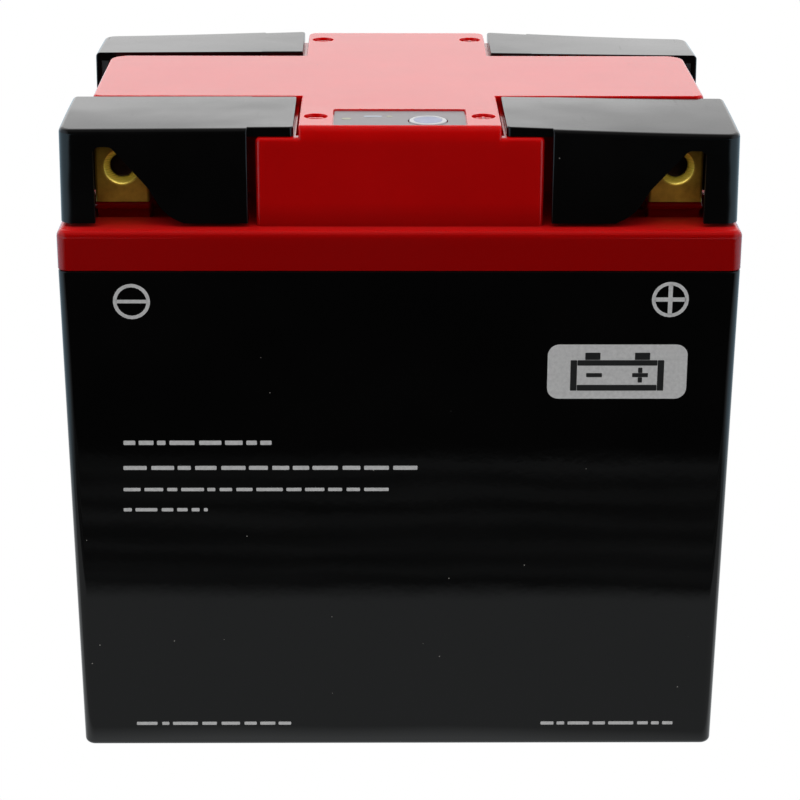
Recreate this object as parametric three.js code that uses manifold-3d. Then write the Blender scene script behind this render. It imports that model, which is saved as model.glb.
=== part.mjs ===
// Lithium motorcycle battery with four screw terminals under push-on covers.
// Units are millimetres, +Z is up, the front face looks along -Y, and the origin is the
// centre of the base. Left is -X (negative pole), right is +X (positive pole).
import * as THREE from 'three';
import { mergeVertices } from 'three/addons/utils/BufferGeometryUtils.js';
import Module from 'manifold-3d';

const wasm = await Module();
wasm.setup();

// ---------------------------------------------------------------- driving dimensions
const FIT = 0.3;                    // clearance between neighbouring pieces

const BAND_HALF_X = 93.7;           // lid band, the widest part of the battery
const BAND_HALF_Y = 67;
const BAND_BOTTOM = 146.3;
const BAND_TOP = 157.6;
const BAND_WALL = 4.6;
const BAND_CORNER = 3.4;
const BAND_EDGE = 1;

const CASE_TOP = BAND_BOTTOM - FIT;
const CASE_STEP = 0.1;              // the case face lies this far inside the band face
const CASE_WALL = 2.2;
const CASE_FLOOR = 2.5;
const CASE_DRAFT = 0.0103;          // inward, per millimetre going down
const CASE_CORNER = 3.1;
const CASE_BASE_EDGE = 1.6;

const DECK_UNDERSIDE = 155;
const LID_TOP = 185.4;
const LID_WALL = 2.2;
const LID_ROOF = 2.4;
const LID_EDGE = 1.7;                // along the middle block
const ARM_EDGE = 0.6;
const LID_FRONT = -62.6;
const LID_BACK = 63.4;
const CENTRE_HALF = 27.5;           // full-height middle block
const SHOULDER_HALF = 39.2;         // lower steps on both sides of the middle block
const SHOULDER_TOP = 182.3;
const ARM_HALF = 86.9;              // the arms between the front and the back covers
const ARM_FRONT = -25.4;
const ARM_BACK = 28.9;
const SKIRT_BOTTOM = 140;
const SKIRT_WALL = 1.8;

const COVER_TOP = 185.2;
const COVER_BOTTOM = BAND_TOP + FIT;
const COVER_HALF_X = 92.4;          // outer side face, at the top
const COVER_FRONT_FACE = 63;        // distance of the front wall from the centre, at the top
const COVER_BACK_FACE = 64.5;
const COVER_DRAFT = 0.0118;
const COVER_WALL = 1.8;
const COVER_ROOF = 2.6;
const COVER_EDGE = 1.2;
const COVER_CORNER = 3.6;
const COVER_LENGTH = 51;            // outer side face to the end of the front wall
const TONGUE_LENGTH = 63.5;         // outer side face to the end of the tongue
const TONGUE_SETBACK = 1.6;
const FRONT_COVER_DEPTH = 37.2;
const BACK_COVER_DEPTH = 29.1;
const POST_WIDTH = 9.4;             // solid corner of the front wall beside its window
const WINDOW_TOP = 180.3;
const PEG_RADIUS = 1.6;
const PEG_LENGTH = 4.2;
const PEG_INSET = 58.5;             // from the outer side face

const TERMINAL_X = 77.1;
const TERMINAL_WIDTH = 15;
const TERMINAL_FOOT = 159.6;
const TERMINAL_TOP = 178.8;
const TERMINAL_FRONT_Y = -39.6;     // centre of the front pair
const TERMINAL_BACK_Y = 45.5;       // centre of the back pair
const BOLT_HOLE = 3.45;
const BOLT_HOLE_RIM = 5.5;
const BOLT_HOLE_Z = 170.3;
const STUD_RADIUS = 4;
const STUD_END = 139.5;

const WELL_FLOOR = 153.6;
const TRAY_BOTTOM = 151.6;
const WELL_OUTER_X = 88.4;
const WELL_INNER_X = 62;
const PLINTH_TOP = TERMINAL_FOOT - FIT;
const SEAL_DEPTH = 1;
const SEAL_RADIUS = 6.2;

const LABEL_HALF_X = 18.3;          // recess of the status label
const LABEL_FRONT = -60.2;
const LABEL_BACK = -41.6;
const LABEL_DEPTH = 0.8;
const BUTTON_X = 7.7;
const BUTTON_Y = -53.7;
const BUTTON_RADIUS = 5.2;
const BUTTON_FLANGE = 0.7;
const LED_XS = [-14, -9.2, -4.4];
const LED_Y = -51.5;
const LED_RADIUS = 1.4;
const MARK_X = 23;                  // polarity marks pressed into the lid
const MARK_YS = [-50.2, 52.3];
const MARK_RADIUS = 3.3;
const MARK_DEPTH = 1;

const CELL_RADIUS = 13.1;
const CELL_PITCH = 28;
const CELL_BOTTOM = 42.2;
const CELL_TOP = 107.7;
const HOLDER_HALF_Y = 20;
const BOARD_BOTTOM = 114;
const BOARD_THICKNESS = 1.6;

// ---------------------------------------------------------------- materials
const material = (color, roughness, metalness = 0) =>
  new THREE.MeshStandardMaterial({ color, roughness, metalness });
const BLACK_PLASTIC = material(0x0a0a0b, 0.2);
const RED_PLASTIC = material(0xa80c0a, 0.2);
const BRASS = material(0xb8963c, 0.32, 1);
const COPPER = material(0xb06a3c, 0.35, 1);
const NICKEL = material(0xb9b6ac, 0.35, 1);
const STEEL = material(0xa9abae, 0.35, 1);
const RUBBER = material(0x1b1b1c, 0.8);
const FOAM = material(0xd9dadb, 0.95);
const HOLDER_PLASTIC = material(0x2a2c30, 0.6);
const CELL_SLEEVE = material(0x2b6a4b, 0.45);
const CIRCUIT_BOARD = material(0x1d5b36, 0.5);
const CHIP = material(0x161617, 0.5);
const RED_WIRE = material(0xb01818, 0.6);
const BLACK_WIRE = material(0x151516, 0.6);
const WHITE_WIRE = material(0xd2d2cf, 0.6);
const LABEL_FILM = material(0xb6b9bb, 0.35, 0.4);
const BUTTON_PLASTIC = material(0xa9c4dc, 0.4);
const LED_PLASTIC = material(0xd6dcd6, 0.15);

// ---------------------------------------------------------------- solids
const toSolid = (geometry) => {
  const bare = geometry.clone();
  bare.deleteAttribute('normal');
  bare.deleteAttribute('uv');
  const merged = mergeVertices(bare, 1e-4);
  return new wasm.Manifold(new wasm.Mesh({
    numProp: 3,
    vertProperties: new Float32Array(merged.attributes.position.array),
    triVerts: new Uint32Array(merged.index.array),
  }));
};

const toGeometry = (solid) => {
  const mesh = solid.getMesh();
  const geometry = new THREE.BufferGeometry();
  geometry.setAttribute('position', new THREE.BufferAttribute(mesh.vertProperties, 3));
  geometry.setIndex(new THREE.BufferAttribute(mesh.triVerts, 1));
  geometry.computeVertexNormals();
  return geometry;
};

const join = (...solids) => solids.reduce((sum, solid) => sum.add(solid));
const cut = (solid, ...tools) => tools.reduce((rest, tool) => rest.subtract(tool), solid);

// A box between two corners, whatever their order.
const block = (xa, xb, ya, yb, za, zb) => {
  const size = [Math.abs(xb - xa), Math.abs(yb - ya), Math.abs(zb - za)];
  const geometry = new THREE.BoxGeometry(...size);
  geometry.translate((xa + xb) / 2, (ya + yb) / 2, (za + zb) / 2);
  return toSolid(geometry);
};

// An upright round bar or cone between two heights.
const post = (x, y, za, zb, radius, segments = 24, topRadius = radius) => {
  const geometry = new THREE.CylinderGeometry(topRadius, radius, zb - za, segments);
  geometry.rotateX(Math.PI / 2);
  geometry.translate(x, y, (za + zb) / 2);
  return toSolid(geometry);
};

// A round bar or cone that lies along Y. radiusA is at ya.
const bar = (x, z, ya, yb, radiusA, radiusB = radiusA, segments = 28) => {
  const geometry = new THREE.CylinderGeometry(radiusB, radiusA, yb - ya, segments);
  geometry.translate(x, (ya + yb) / 2, z);
  return toSolid(geometry);
};

// The corners of a rectangle with rounded corners, counter-clockwise seen from above.
const ring = (box, radii, z, steps = 4) => {
  const [x0, x1, y0, y1] = box;
  const corners = [
    [x1, y0, -1, 1, -90], [x1, y1, -1, -1, 0], [x0, y1, 1, -1, 90], [x0, y0, 1, 1, 180],
  ];
  const points = [];
  corners.forEach(([x, y, sx, sy, start], index) => {
    const radius = Array.isArray(radii) ? radii[index] : radii;
    for (let step = 0; step <= steps; step += 1) {
      const angle = THREE.MathUtils.degToRad(start + (90 * step) / steps);
      points.push([
        x + sx * radius + radius * Math.cos(angle),
        y + sy * radius + radius * Math.sin(angle),
        z,
      ]);
    }
  });
  return points;
};

// A solid through a stack of rings with the same number of points.
const loft = (rings) => {
  const count = rings[0].length;
  const positions = rings.flat(2);
  const index = [];
  for (let level = 0; level + 1 < rings.length; level += 1) {
    for (let i = 0; i < count; i += 1) {
      const a = level * count + i;
      const b = level * count + ((i + 1) % count);
      index.push(a, b, b + count, a, b + count, a + count);
    }
  }
  const last = (rings.length - 1) * count;
  for (let i = 1; i + 1 < count; i += 1) {
    index.push(0, i + 1, i);
    index.push(last, last + i, last + i + 1);
  }
  const geometry = new THREE.BufferGeometry();
  geometry.setAttribute('position', new THREE.Float32BufferAttribute(positions, 3));
  geometry.setIndex(index);
  return toSolid(geometry);
};

const grow = ([x0, x1, y0, y1], by) => [x0 - by, x1 + by, y0 - by, y1 + by];

// A block with rounded upright corners and a rounded top edge.
const roundedBlock = (box, za, zb, corner, edge, steps = 4) => {
  const rings = [ring(box, corner, za, steps)];
  for (const angle of [0, 30, 60, 90]) {
    const turn = THREE.MathUtils.degToRad(angle);
    const inset = edge * (1 - Math.cos(turn));
    const radii = Array.isArray(corner)
      ? corner.map((radius) => Math.max(radius - inset, 0.1))
      : Math.max(corner - inset, 0.1);
    rings.push(ring(grow(box, -inset), radii, zb - edge * (1 - Math.sin(turn)), steps));
  }
  return loft(rings);
};

const mirrorX = (solid) => solid.mirror([1, 0, 0]);
const mirrorY = (solid) => solid.mirror([0, 1, 0]);

// A closed outline drawn in X and Z, pushed along Y.
const upright = (outline, ya, yb) => {
  const geometry = new THREE.ExtrudeGeometry(outline, {
    depth: yb - ya, bevelEnabled: false, curveSegments: 6,
  });
  geometry.rotateX(Math.PI / 2);
  geometry.translate(0, yb, 0);
  return toSolid(geometry);
};

// A round wire along a smooth path.
const wire = (points, radius, steps = 24) => {
  const path = new THREE.CatmullRomCurve3(points.map((point) => new THREE.Vector3(...point)));
  const section = new THREE.Shape();
  section.absarc(0, 0, radius, 0, Math.PI * 2);
  const geometry = new THREE.ExtrudeGeometry(section, {
    steps, extrudePath: path, curveSegments: 5, bevelEnabled: false,
  });
  return toSolid(geometry);
};

const battery = new THREE.Group();

const add = (name, solid, finish) => {
  const mesh = new THREE.Mesh(toGeometry(solid), finish);
  mesh.name = name;
  battery.add(mesh);
};

// ---------------------------------------------------------------- case
const caseBox = (z, inset) => {
  const halfX = BAND_HALF_X - CASE_STEP - CASE_DRAFT * (CASE_TOP - z) - inset;
  const halfY = BAND_HALF_Y - CASE_STEP - CASE_DRAFT * (CASE_TOP - z) - inset;
  return [-halfX, halfX, -halfY, halfY];
};

const caseSolid = () => {
  const outer = loft([
    ring(caseBox(0, CASE_BASE_EDGE), CASE_CORNER - 1, 0),
    ring(caseBox(CASE_BASE_EDGE * 0.3, CASE_BASE_EDGE * 0.3), CASE_CORNER, CASE_BASE_EDGE * 0.3),
    ring(caseBox(CASE_BASE_EDGE, 0), CASE_CORNER, CASE_BASE_EDGE),
    ring(caseBox(CASE_TOP, 0), CASE_CORNER, CASE_TOP),
  ]);
  const inner = loft([
    ring(caseBox(CASE_FLOOR, CASE_WALL), 1, CASE_FLOOR),
    ring(caseBox(CASE_TOP + 1, CASE_WALL), 1, CASE_TOP + 1),
  ]);
  return cut(outer, inner);
};
add('case_body', caseSolid(), BLACK_PLASTIC);

// ---------------------------------------------------------------- lid
const SIDES = [['left', -1], ['right', 1]];
const PAIRS = [
  { end: 'front', y: TERMINAL_FRONT_Y, wellY: [-53.3, -29.5] },
  { end: 'back', y: TERMINAL_BACK_Y, wellY: [36.2, 58.5] },
];

const raisedPart = (inset, drop, bottom) => {
  const shrink = (box) => grow(box, -inset);
  const corner = Math.max(2.2 - inset, 0.4);
  const backCorner = Math.max(5 - inset, 0.4);
  const edge = inset > 0 ? 0.5 : LID_EDGE;
  const top = LID_TOP - drop;
  const centre = roundedBlock(
    shrink([-CENTRE_HALF, CENTRE_HALF, LID_FRONT, LID_BACK]), bottom, top, 0.5, edge);
  const arms = roundedBlock(
    shrink([-ARM_HALF, ARM_HALF, ARM_FRONT, ARM_BACK]), bottom, top,
    [corner, backCorner, backCorner, corner], Math.min(edge, ARM_EDGE), 5);
  const shoulders = roundedBlock(
    shrink([-SHOULDER_HALF, SHOULDER_HALF, LID_FRONT, LID_BACK]), bottom,
    SHOULDER_TOP - drop, corner, Math.min(edge, 1));
  return join(centre, arms, shoulders);
};

// A plus or minus sign of 0.7 mm bars, standing in its round recess.
const polaritySign = (x, y, positive) => {
  const half = MARK_RADIUS * 0.62;
  const bottom = LID_TOP - MARK_DEPTH - 0.2;
  const top = LID_TOP - 0.45;
  const across = block(x - half, x + half, y - 0.35, y + 0.35, bottom, top);
  if (!positive) return across;
  return join(across, block(x - 0.35, x + 0.35, y - half, y + half, bottom, top));
};

const lidSolid = () => {
  const bandBox = [-BAND_HALF_X, BAND_HALF_X, -BAND_HALF_Y, BAND_HALF_Y];
  let lid = roundedBlock(bandBox, BAND_BOTTOM, BAND_TOP, BAND_CORNER, BAND_EDGE);
  lid = join(lid, raisedPart(0, 0, DECK_UNDERSIDE));

  const bay = grow(bandBox, -BAND_WALL);
  lid = cut(lid, loft([ring(bay, 1, BAND_BOTTOM - 1), ring(bay, 1, DECK_UNDERSIDE)]));
  lid = cut(lid, raisedPart(LID_WALL, LID_ROOF, BAND_BOTTOM));

  const skirtBox = grow(bay, SKIRT_WALL);
  lid = join(lid, cut(
    loft([ring(skirtBox, 1, SKIRT_BOTTOM), ring(skirtBox, 1, BAND_BOTTOM + 1)]),
    loft([ring(bay, 1, SKIRT_BOTTOM - 1), ring(bay, 1, BAND_BOTTOM + 2)])));

  for (const { y, wellY: [near, far] } of PAIRS) {
    for (const [, side] of SIDES) {
      const outerX = side * WELL_OUTER_X;
      const innerX = side * WELL_INNER_X;
      const x = side * TERMINAL_X;
      const foot = TERMINAL_WIDTH / 2 + 0.2;
      lid = join(lid, block(side * (BAND_HALF_X - BAND_WALL + 1), innerX - side * 2,
        near - 2, far + 2, TRAY_BOTTOM, DECK_UNDERSIDE + 1));
      lid = cut(lid, block(outerX, innerX, near, far, WELL_FLOOR, BAND_TOP + 1));
      lid = join(lid, block(x - foot, x + foot, y - foot, y + foot, WELL_FLOOR - 1, PLINTH_TOP));
      lid = cut(lid,
        post(x, y, TRAY_BOTTOM - 1, PLINTH_TOP + 1, STUD_RADIUS + FIT),
        post(x, y, PLINTH_TOP - SEAL_DEPTH, PLINTH_TOP + 1, SEAL_RADIUS + FIT));
    }
  }

  for (const [, side] of SIDES) {
    for (const y of pegRows()) {
      const x = side * (COVER_HALF_X - PEG_INSET);
      lid = cut(lid, post(x, y, SHOULDER_TOP - LID_ROOF - 1, SHOULDER_TOP + 1, PEG_RADIUS + FIT, 16));
    }
    for (const y of MARK_YS) {
      lid = cut(lid, post(side * MARK_X, y, LID_TOP - MARK_DEPTH, LID_TOP + 1, MARK_RADIUS, 28));
      lid = join(lid, polaritySign(side * MARK_X, y, side > 0));
    }
  }

  lid = cut(lid, block(-LABEL_HALF_X, LABEL_HALF_X, LABEL_FRONT, LABEL_BACK,
    LID_TOP - LABEL_DEPTH, LID_TOP + 1));
  lid = cut(lid, post(BUTTON_X, BUTTON_Y, LID_TOP - 6, LID_TOP, BUTTON_RADIUS + FIT, 32));
  for (const x of LED_XS) {
    lid = cut(lid, post(x, LED_Y, LID_TOP - 6, LID_TOP, LED_RADIUS + FIT, 16));
  }
  for (const [x, y] of indicatorScrews()) {
    lid = join(lid, post(x, y, INDICATOR_BOARD_TOP + FIT, LID_TOP - LID_ROOF + 0.5, 2.8, 16));
    lid = cut(lid, post(x, y, INDICATOR_BOARD_TOP - 1, INDICATOR_BOARD_TOP + 6.4, 1.5, 12));
  }
  return lid;
};

function pegRows() {
  return [
    -COVER_FRONT_FACE + FRONT_COVER_DEPTH * 0.29, -COVER_FRONT_FACE + FRONT_COVER_DEPTH * 0.87,
    COVER_BACK_FACE - BACK_COVER_DEPTH * 0.29, COVER_BACK_FACE - BACK_COVER_DEPTH * 0.8,
  ];
}

// ---------------------------------------------------------------- status indicator
const INDICATOR_BOARD_TOP = 173;
const INDICATOR_HALF_X = 22;

function indicatorScrews() {
  return [[-19, -44.5], [19, -44.5]];
}

add('lid', lidSolid(), RED_PLASTIC);

const indicatorBoard = () => {
  const bottom = INDICATOR_BOARD_TOP - BOARD_THICKNESS;
  const board = block(-INDICATOR_HALF_X, INDICATOR_HALF_X, -59.8, -41, bottom, INDICATOR_BOARD_TOP);
  const holes = indicatorScrews().map(([x, y]) =>
    post(x, y, bottom - 1, INDICATOR_BOARD_TOP + 1, 1.6, 12));
  return cut(board, ...holes);
};
add('indicator_board', indicatorBoard(), CIRCUIT_BOARD);

indicatorScrews().forEach(([x, y], index) => {
  const under = INDICATOR_BOARD_TOP - BOARD_THICKNESS - FIT;
  const screw = join(
    post(x, y, under - 1.6, under, 2.6, 16),
    post(x, y, under - 0.5, INDICATOR_BOARD_TOP + 5.5, 1.2, 12));
  add(`indicator_screw_${index + 1}`, screw, STEEL);
});

LED_XS.forEach((x, index) => {
  const base = INDICATOR_BOARD_TOP + FIT;
  const led = join(
    block(x - 0.9, x + 0.9, LED_Y - 0.25, LED_Y + 0.25, base, LID_TOP - 7),
    post(x, LED_Y, LID_TOP - 7.3, LID_TOP - 6.4, LED_RADIUS + 0.4, 16),
    post(x, LED_Y, LID_TOP - 6.6, LID_TOP - 1.2, LED_RADIUS, 16),
    post(x, LED_Y, LID_TOP - 1.3, LID_TOP - 0.6, LED_RADIUS, 16, LED_RADIUS * 0.6));
  add(`status_led_${index + 1}`, led, LED_PLASTIC);
});

const SWITCH_TOP = INDICATOR_BOARD_TOP + FIT + 3.6;
add('button_switch', join(
  block(BUTTON_X - 3, BUTTON_X + 3, BUTTON_Y - 3, BUTTON_Y + 3,
    INDICATOR_BOARD_TOP + FIT, SWITCH_TOP),
  post(BUTTON_X, BUTTON_Y, SWITCH_TOP - 0.5, SWITCH_TOP + 0.8, 1.7, 16)), CHIP);

// The button presses down; its flange keeps it under the lid roof.
add('test_button', join(
  post(BUTTON_X, BUTTON_Y, LID_TOP - LID_ROOF - 1.6, LID_TOP - LID_ROOF - FIT,
    BUTTON_RADIUS + BUTTON_FLANGE, 32),
  post(BUTTON_X, BUTTON_Y, LID_TOP - LID_ROOF - 1, LID_TOP - 0.4, BUTTON_RADIUS, 32),
  post(BUTTON_X, BUTTON_Y, LID_TOP - 0.4, LID_TOP - 0.1, BUTTON_RADIUS, 32, BUTTON_RADIUS - 0.5),
  post(BUTTON_X, BUTTON_Y, SWITCH_TOP + 1.4, LID_TOP - LID_ROOF - 1.5, 2, 16)), BUTTON_PLASTIC);

const labelFloor = LID_TOP - LABEL_DEPTH + 0.05;
const label = cut(
  block(-LABEL_HALF_X + FIT, LABEL_HALF_X - FIT, LABEL_FRONT + FIT, LABEL_BACK - FIT,
    labelFloor, labelFloor + 0.3),
  post(BUTTON_X, BUTTON_Y, labelFloor - 1, labelFloor + 1, BUTTON_RADIUS + FIT, 32),
  ...LED_XS.map((x) => post(x, LED_Y, labelFloor - 1, labelFloor + 1, LED_RADIUS + FIT, 16)));
add('status_label', label, LABEL_FILM);

// ---------------------------------------------------------------- terminal covers
// Drawn for the front left corner with the outer corner of the top at x = 0, y = 0, then
// mirrored to the four corners.
const windowOutline = () => {
  const outline = new THREE.Shape();
  const low = COVER_BOTTOM - 1;
  outline.moveTo(POST_WIDTH, low);
  outline.lineTo(POST_WIDTH, WINDOW_TOP - 1);
  outline.quadraticCurveTo(POST_WIDTH, WINDOW_TOP, POST_WIDTH + 1, WINDOW_TOP);
  outline.lineTo(14.1, WINDOW_TOP);
  outline.lineTo(24.2, 168.4);
  outline.quadraticCurveTo(27.4, 160.4, 33.6, COVER_BOTTOM);
  outline.lineTo(33.6, low);
  outline.closePath();
  return outline;
};

const coverSolid = (depth) => {
  const flare = (z) => COVER_DRAFT * (COVER_TOP - z);
  const box = (z, inset) => [
    -flare(z) + inset, COVER_LENGTH, -flare(z) + inset, depth,
  ];
  const radii = (corner) => [0.2, 0.2, 0.2, corner];
  const rings = [ring(box(COVER_BOTTOM, 0), radii(COVER_CORNER), COVER_BOTTOM)];
  for (const angle of [0, 30, 60, 90]) {
    const turn = THREE.MathUtils.degToRad(angle);
    const inset = COVER_EDGE * (1 - Math.cos(turn));
    const z = COVER_TOP - COVER_EDGE * (1 - Math.sin(turn));
    rings.push(ring(box(z, inset), radii(COVER_CORNER - inset), z));
  }
  const roofUnderside = COVER_TOP - COVER_ROOF;
  const hollow = (z) => [
    -flare(z) + COVER_WALL, COVER_LENGTH + 5, -flare(z) + COVER_WALL, depth + 5,
  ];
  const inner = loft([COVER_BOTTOM - 1, roofUnderside].map((z) =>
    ring(hollow(z), [0.2, 0.2, 0.2, COVER_CORNER - COVER_WALL], z)));
  let cover = cut(loft(rings), inner, upright(windowOutline(), -2, COVER_WALL + 1));
  const tongue = roundedBlock(
    [COVER_LENGTH - 5, TONGUE_LENGTH, TONGUE_SETBACK, depth],
    roofUnderside, COVER_TOP, 0.6, 0.4, 2);
  cover = join(cover, tongue);
  for (const share of depth > 30 ? [0.29, 0.87] : [0.29, 0.8]) {
    cover = join(cover, post(PEG_INSET, depth * share,
      roofUnderside - PEG_LENGTH, roofUnderside + 0.5, PEG_RADIUS, 16));
  }
  return cover;
};

const COVER_ENDS = [
  ['front', FRONT_COVER_DEPTH, COVER_FRONT_FACE], ['back', BACK_COVER_DEPTH, COVER_BACK_FACE],
];
for (const [end, depth, face] of COVER_ENDS) {
  for (const [side, sign] of SIDES) {
    let cover = coverSolid(depth).translate([-COVER_HALF_X, -face, 0]);
    if (sign > 0) cover = mirrorX(cover);
    if (end === 'back') cover = mirrorY(cover);
    add(`terminal_cover_${end}_${side}`, cover, BLACK_PLASTIC);
  }
}

// ---------------------------------------------------------------- terminals
// A hollow brass block: a bolt goes in from the outside or from the top, into a loose nut
// that is slid in from the side that faces the middle of the battery.
const terminalSolid = (x, y, towardsOutside) => {
  const half = TERMINAL_WIDTH / 2;
  const inward = -Math.sign(x);
  let terminal = roundedBlock([x - half, x + half, y - half, y + half],
    TERMINAL_FOOT, TERMINAL_TOP, 0.8, 0.6, 2);
  terminal = cut(terminal, block(x - inward * 4.5, x + inward * (half + 1), y - 4.3, y + 4.3,
    BOLT_HOLE_Z - 5.4, BOLT_HOLE_Z + 5));
  const face = y + towardsOutside * half;
  const deep = y - towardsOutside * 2;
  terminal = cut(terminal, bar(x, BOLT_HOLE_Z, Math.min(face + towardsOutside, deep),
    Math.max(face + towardsOutside, deep), BOLT_HOLE));
  const rimInner = face - towardsOutside * (BOLT_HOLE_RIM - BOLT_HOLE);
  terminal = cut(terminal, towardsOutside < 0
    ? bar(x, BOLT_HOLE_Z, face, rimInner, BOLT_HOLE_RIM, BOLT_HOLE)
    : bar(x, BOLT_HOLE_Z, rimInner, face, BOLT_HOLE, BOLT_HOLE_RIM));
  terminal = cut(terminal,
    post(x, y, BOLT_HOLE_Z, TERMINAL_TOP + 1, BOLT_HOLE, 28),
    post(x, y, TERMINAL_TOP - 1.5, TERMINAL_TOP, BOLT_HOLE, 28, BOLT_HOLE + 1.5));
  return join(terminal,
    post(x, y, STUD_END + 0.8, TERMINAL_FOOT + 1, STUD_RADIUS),
    post(x, y, STUD_END, STUD_END + 0.9, STUD_RADIUS - 0.8, 24, STUD_RADIUS));
};

const sealSolid = (x, y) => {
  const bottom = PLINTH_TOP - SEAL_DEPTH + 0.05;
  const top = PLINTH_TOP;
  return cut(post(x, y, bottom, top, SEAL_RADIUS), post(x, y, bottom - 1, top + 1, STUD_RADIUS + FIT));
};

const LINK_TOP = TRAY_BOTTOM - FIT;
const LINK_BOTTOM = LINK_TOP - 2.6;
const LUG_TOP = LINK_BOTTOM - FIT;
const LUG_BOTTOM = LUG_TOP - 1.4;

const nutSolid = (x, y, top) => {
  const nut = post(x, y, top - 5.6, top, 7.5, 6);
  return cut(nut, post(x, y, top - 7, top + 1, STUD_RADIUS + FIT));
};

for (const { end, y } of PAIRS) {
  for (const [side, sign] of SIDES) {
    const x = sign * TERMINAL_X;
    add(`terminal_${end}_${side}`, terminalSolid(x, y, Math.sign(y)), BRASS);
    add(`terminal_seal_${end}_${side}`, sealSolid(x, y), RUBBER);
    const nutTop = (end === 'front' ? LUG_BOTTOM : LINK_BOTTOM) - FIT;
    add(`terminal_nut_${end}_${side}`, nutSolid(x, y, nutTop), STEEL);
  }
}

// ---------------------------------------------------------------- current path
// A bar joins the front and back terminals of each pole; a lug on the front stud takes the lead.
const POLES = [['negative', -1, BLACK_WIRE], ['positive', 1, RED_WIRE]];

for (const [pole, sign, wireFinish] of POLES) {
  const x = sign * TERMINAL_X;
  const linkBar = cut(
    block(x - 6, x + 6, TERMINAL_FRONT_Y - 8, TERMINAL_BACK_Y + 8, LINK_BOTTOM, LINK_TOP),
    ...PAIRS.map(({ y }) => post(x, y, LINK_BOTTOM - 1, LINK_TOP + 1, STUD_RADIUS + FIT)));
  add(`${pole}_link_bar`, linkBar, COPPER);

  const barrelStart = x - sign * 9;
  const barrelEnd = x - sign * 17;
  const barrel = new THREE.CylinderGeometry(2.9, 2.9, 8, 20);
  barrel.rotateZ(Math.PI / 2);
  barrel.translate((barrelStart + barrelEnd) / 2, TERMINAL_FRONT_Y, (LUG_TOP + LUG_BOTTOM) / 2);
  const lug = cut(join(
    post(x, TERMINAL_FRONT_Y, LUG_BOTTOM, LUG_TOP, 7, 28),
    block(x, x - sign * 10, TERMINAL_FRONT_Y - 3, TERMINAL_FRONT_Y + 3, LUG_BOTTOM, LUG_TOP),
    toSolid(barrel)), post(x, TERMINAL_FRONT_Y, LUG_BOTTOM - 1, LUG_TOP + 1, STUD_RADIUS + FIT));
  add(`${pole}_lug`, lug, NICKEL);

  const lugZ = (LUG_TOP + LUG_BOTTOM) / 2;
  const route = [
    [sign * 60.5, -1, 110.6], [sign * 60, -4, 117], [sign * 54, -16, 131],
    [sign * 46, -31, 143], [sign * 49, -39.2, 147.3], [barrelEnd - sign * FIT, TERMINAL_FRONT_Y, lugZ],
  ];
  add(`${pole}_lead`, wire(route, 2.2), wireFinish);
}

// ---------------------------------------------------------------- cell pack
const CELL_XS = [-1.5, -0.5, 0.5, 1.5].map((step) => step * CELL_PITCH);
const HOLDER_HALF_X = 60;
const BOARD_POSTS = [[-50, -15], [50, -15], [-50, 15], [50, 15]];

CELL_XS.forEach((x, index) => {
  add(`cell_${index + 1}`, join(
    post(x, 0, CELL_BOTTOM, CELL_TOP - 1.5, CELL_RADIUS, 32),
    post(x, 0, CELL_TOP - 1.5, CELL_TOP - 0.8, CELL_RADIUS, 32, CELL_RADIUS - 0.8),
    post(x, 0, CELL_TOP - 1, CELL_TOP, 6, 24)), CELL_SLEEVE);
});

const holder = (bottom, top) => cut(
  loft([bottom, top].map((z) =>
    ring([-HOLDER_HALF_X, HOLDER_HALF_X, -HOLDER_HALF_Y, HOLDER_HALF_Y], 3, z))),
  ...CELL_XS.map((x) => post(x, 0, bottom - 1, top + 1, CELL_RADIUS + FIT, 32)));

add('cell_holder_lower', holder(43, 51), HOLDER_PLASTIC);

let upperHolder = holder(99, 106);
for (const [x, y] of BOARD_POSTS) {
  upperHolder = join(upperHolder, post(x, y, 105, BOARD_BOTTOM - FIT, 3.2, 16));
  upperHolder = cut(upperHolder, post(x, y, BOARD_BOTTOM - 8, BOARD_BOTTOM + 1, 1.5, 12));
}
add('cell_holder_upper', upperHolder, HOLDER_PLASTIC);

const STRIP_THICKNESS = 0.5;
const strip = (xa, xb, z) => block(xa, xb, -5, 5, z, z + STRIP_THICKNESS);
const stripBelow = CELL_BOTTOM - FIT - STRIP_THICKNESS;
const stripAbove = CELL_TOP + FIT;
add('series_link_1', strip(CELL_XS[0] - 7, CELL_XS[1] + 7, stripBelow), NICKEL);
add('series_link_2', strip(CELL_XS[1] - 7, CELL_XS[2] + 7, stripAbove), NICKEL);
add('series_link_3', strip(CELL_XS[2] - 7, CELL_XS[3] + 7, stripBelow), NICKEL);
add('negative_tab', strip(CELL_XS[0] + 6, -63.5, stripAbove), NICKEL);
add('positive_tab', strip(CELL_XS[3] - 6, 63.5, stripAbove), NICKEL);

// ---------------------------------------------------------------- balance board
const BOARD_TOP = BOARD_BOTTOM + BOARD_THICKNESS;
add('balance_board', cut(
  block(-55, 55, -20, 20, BOARD_BOTTOM, BOARD_TOP),
  ...BOARD_POSTS.map(([x, y]) => post(x, y, BOARD_BOTTOM - 1, BOARD_TOP + 1, 1.6, 12))),
CIRCUIT_BOARD);

BOARD_POSTS.forEach(([x, y], index) => {
  add(`board_screw_${index + 1}`, join(
    post(x, y, BOARD_TOP + FIT, BOARD_TOP + FIT + 1.8, 2.8, 16),
    post(x, y, BOARD_BOTTOM - 7, BOARD_TOP + FIT + 0.5, 1.2, 12)), STEEL);
});

[-24, 24].forEach((x, index) => {
  add(`power_transistor_${index + 1}`,
    block(x - 7, x + 7, -6, 6, BOARD_TOP + FIT, BOARD_TOP + FIT + 4.4), CHIP);
});

add('harness_socket', block(-6, 6, -18, -12, BOARD_TOP + FIT, BOARD_TOP + FIT + 5), WHITE_WIRE);

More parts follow.
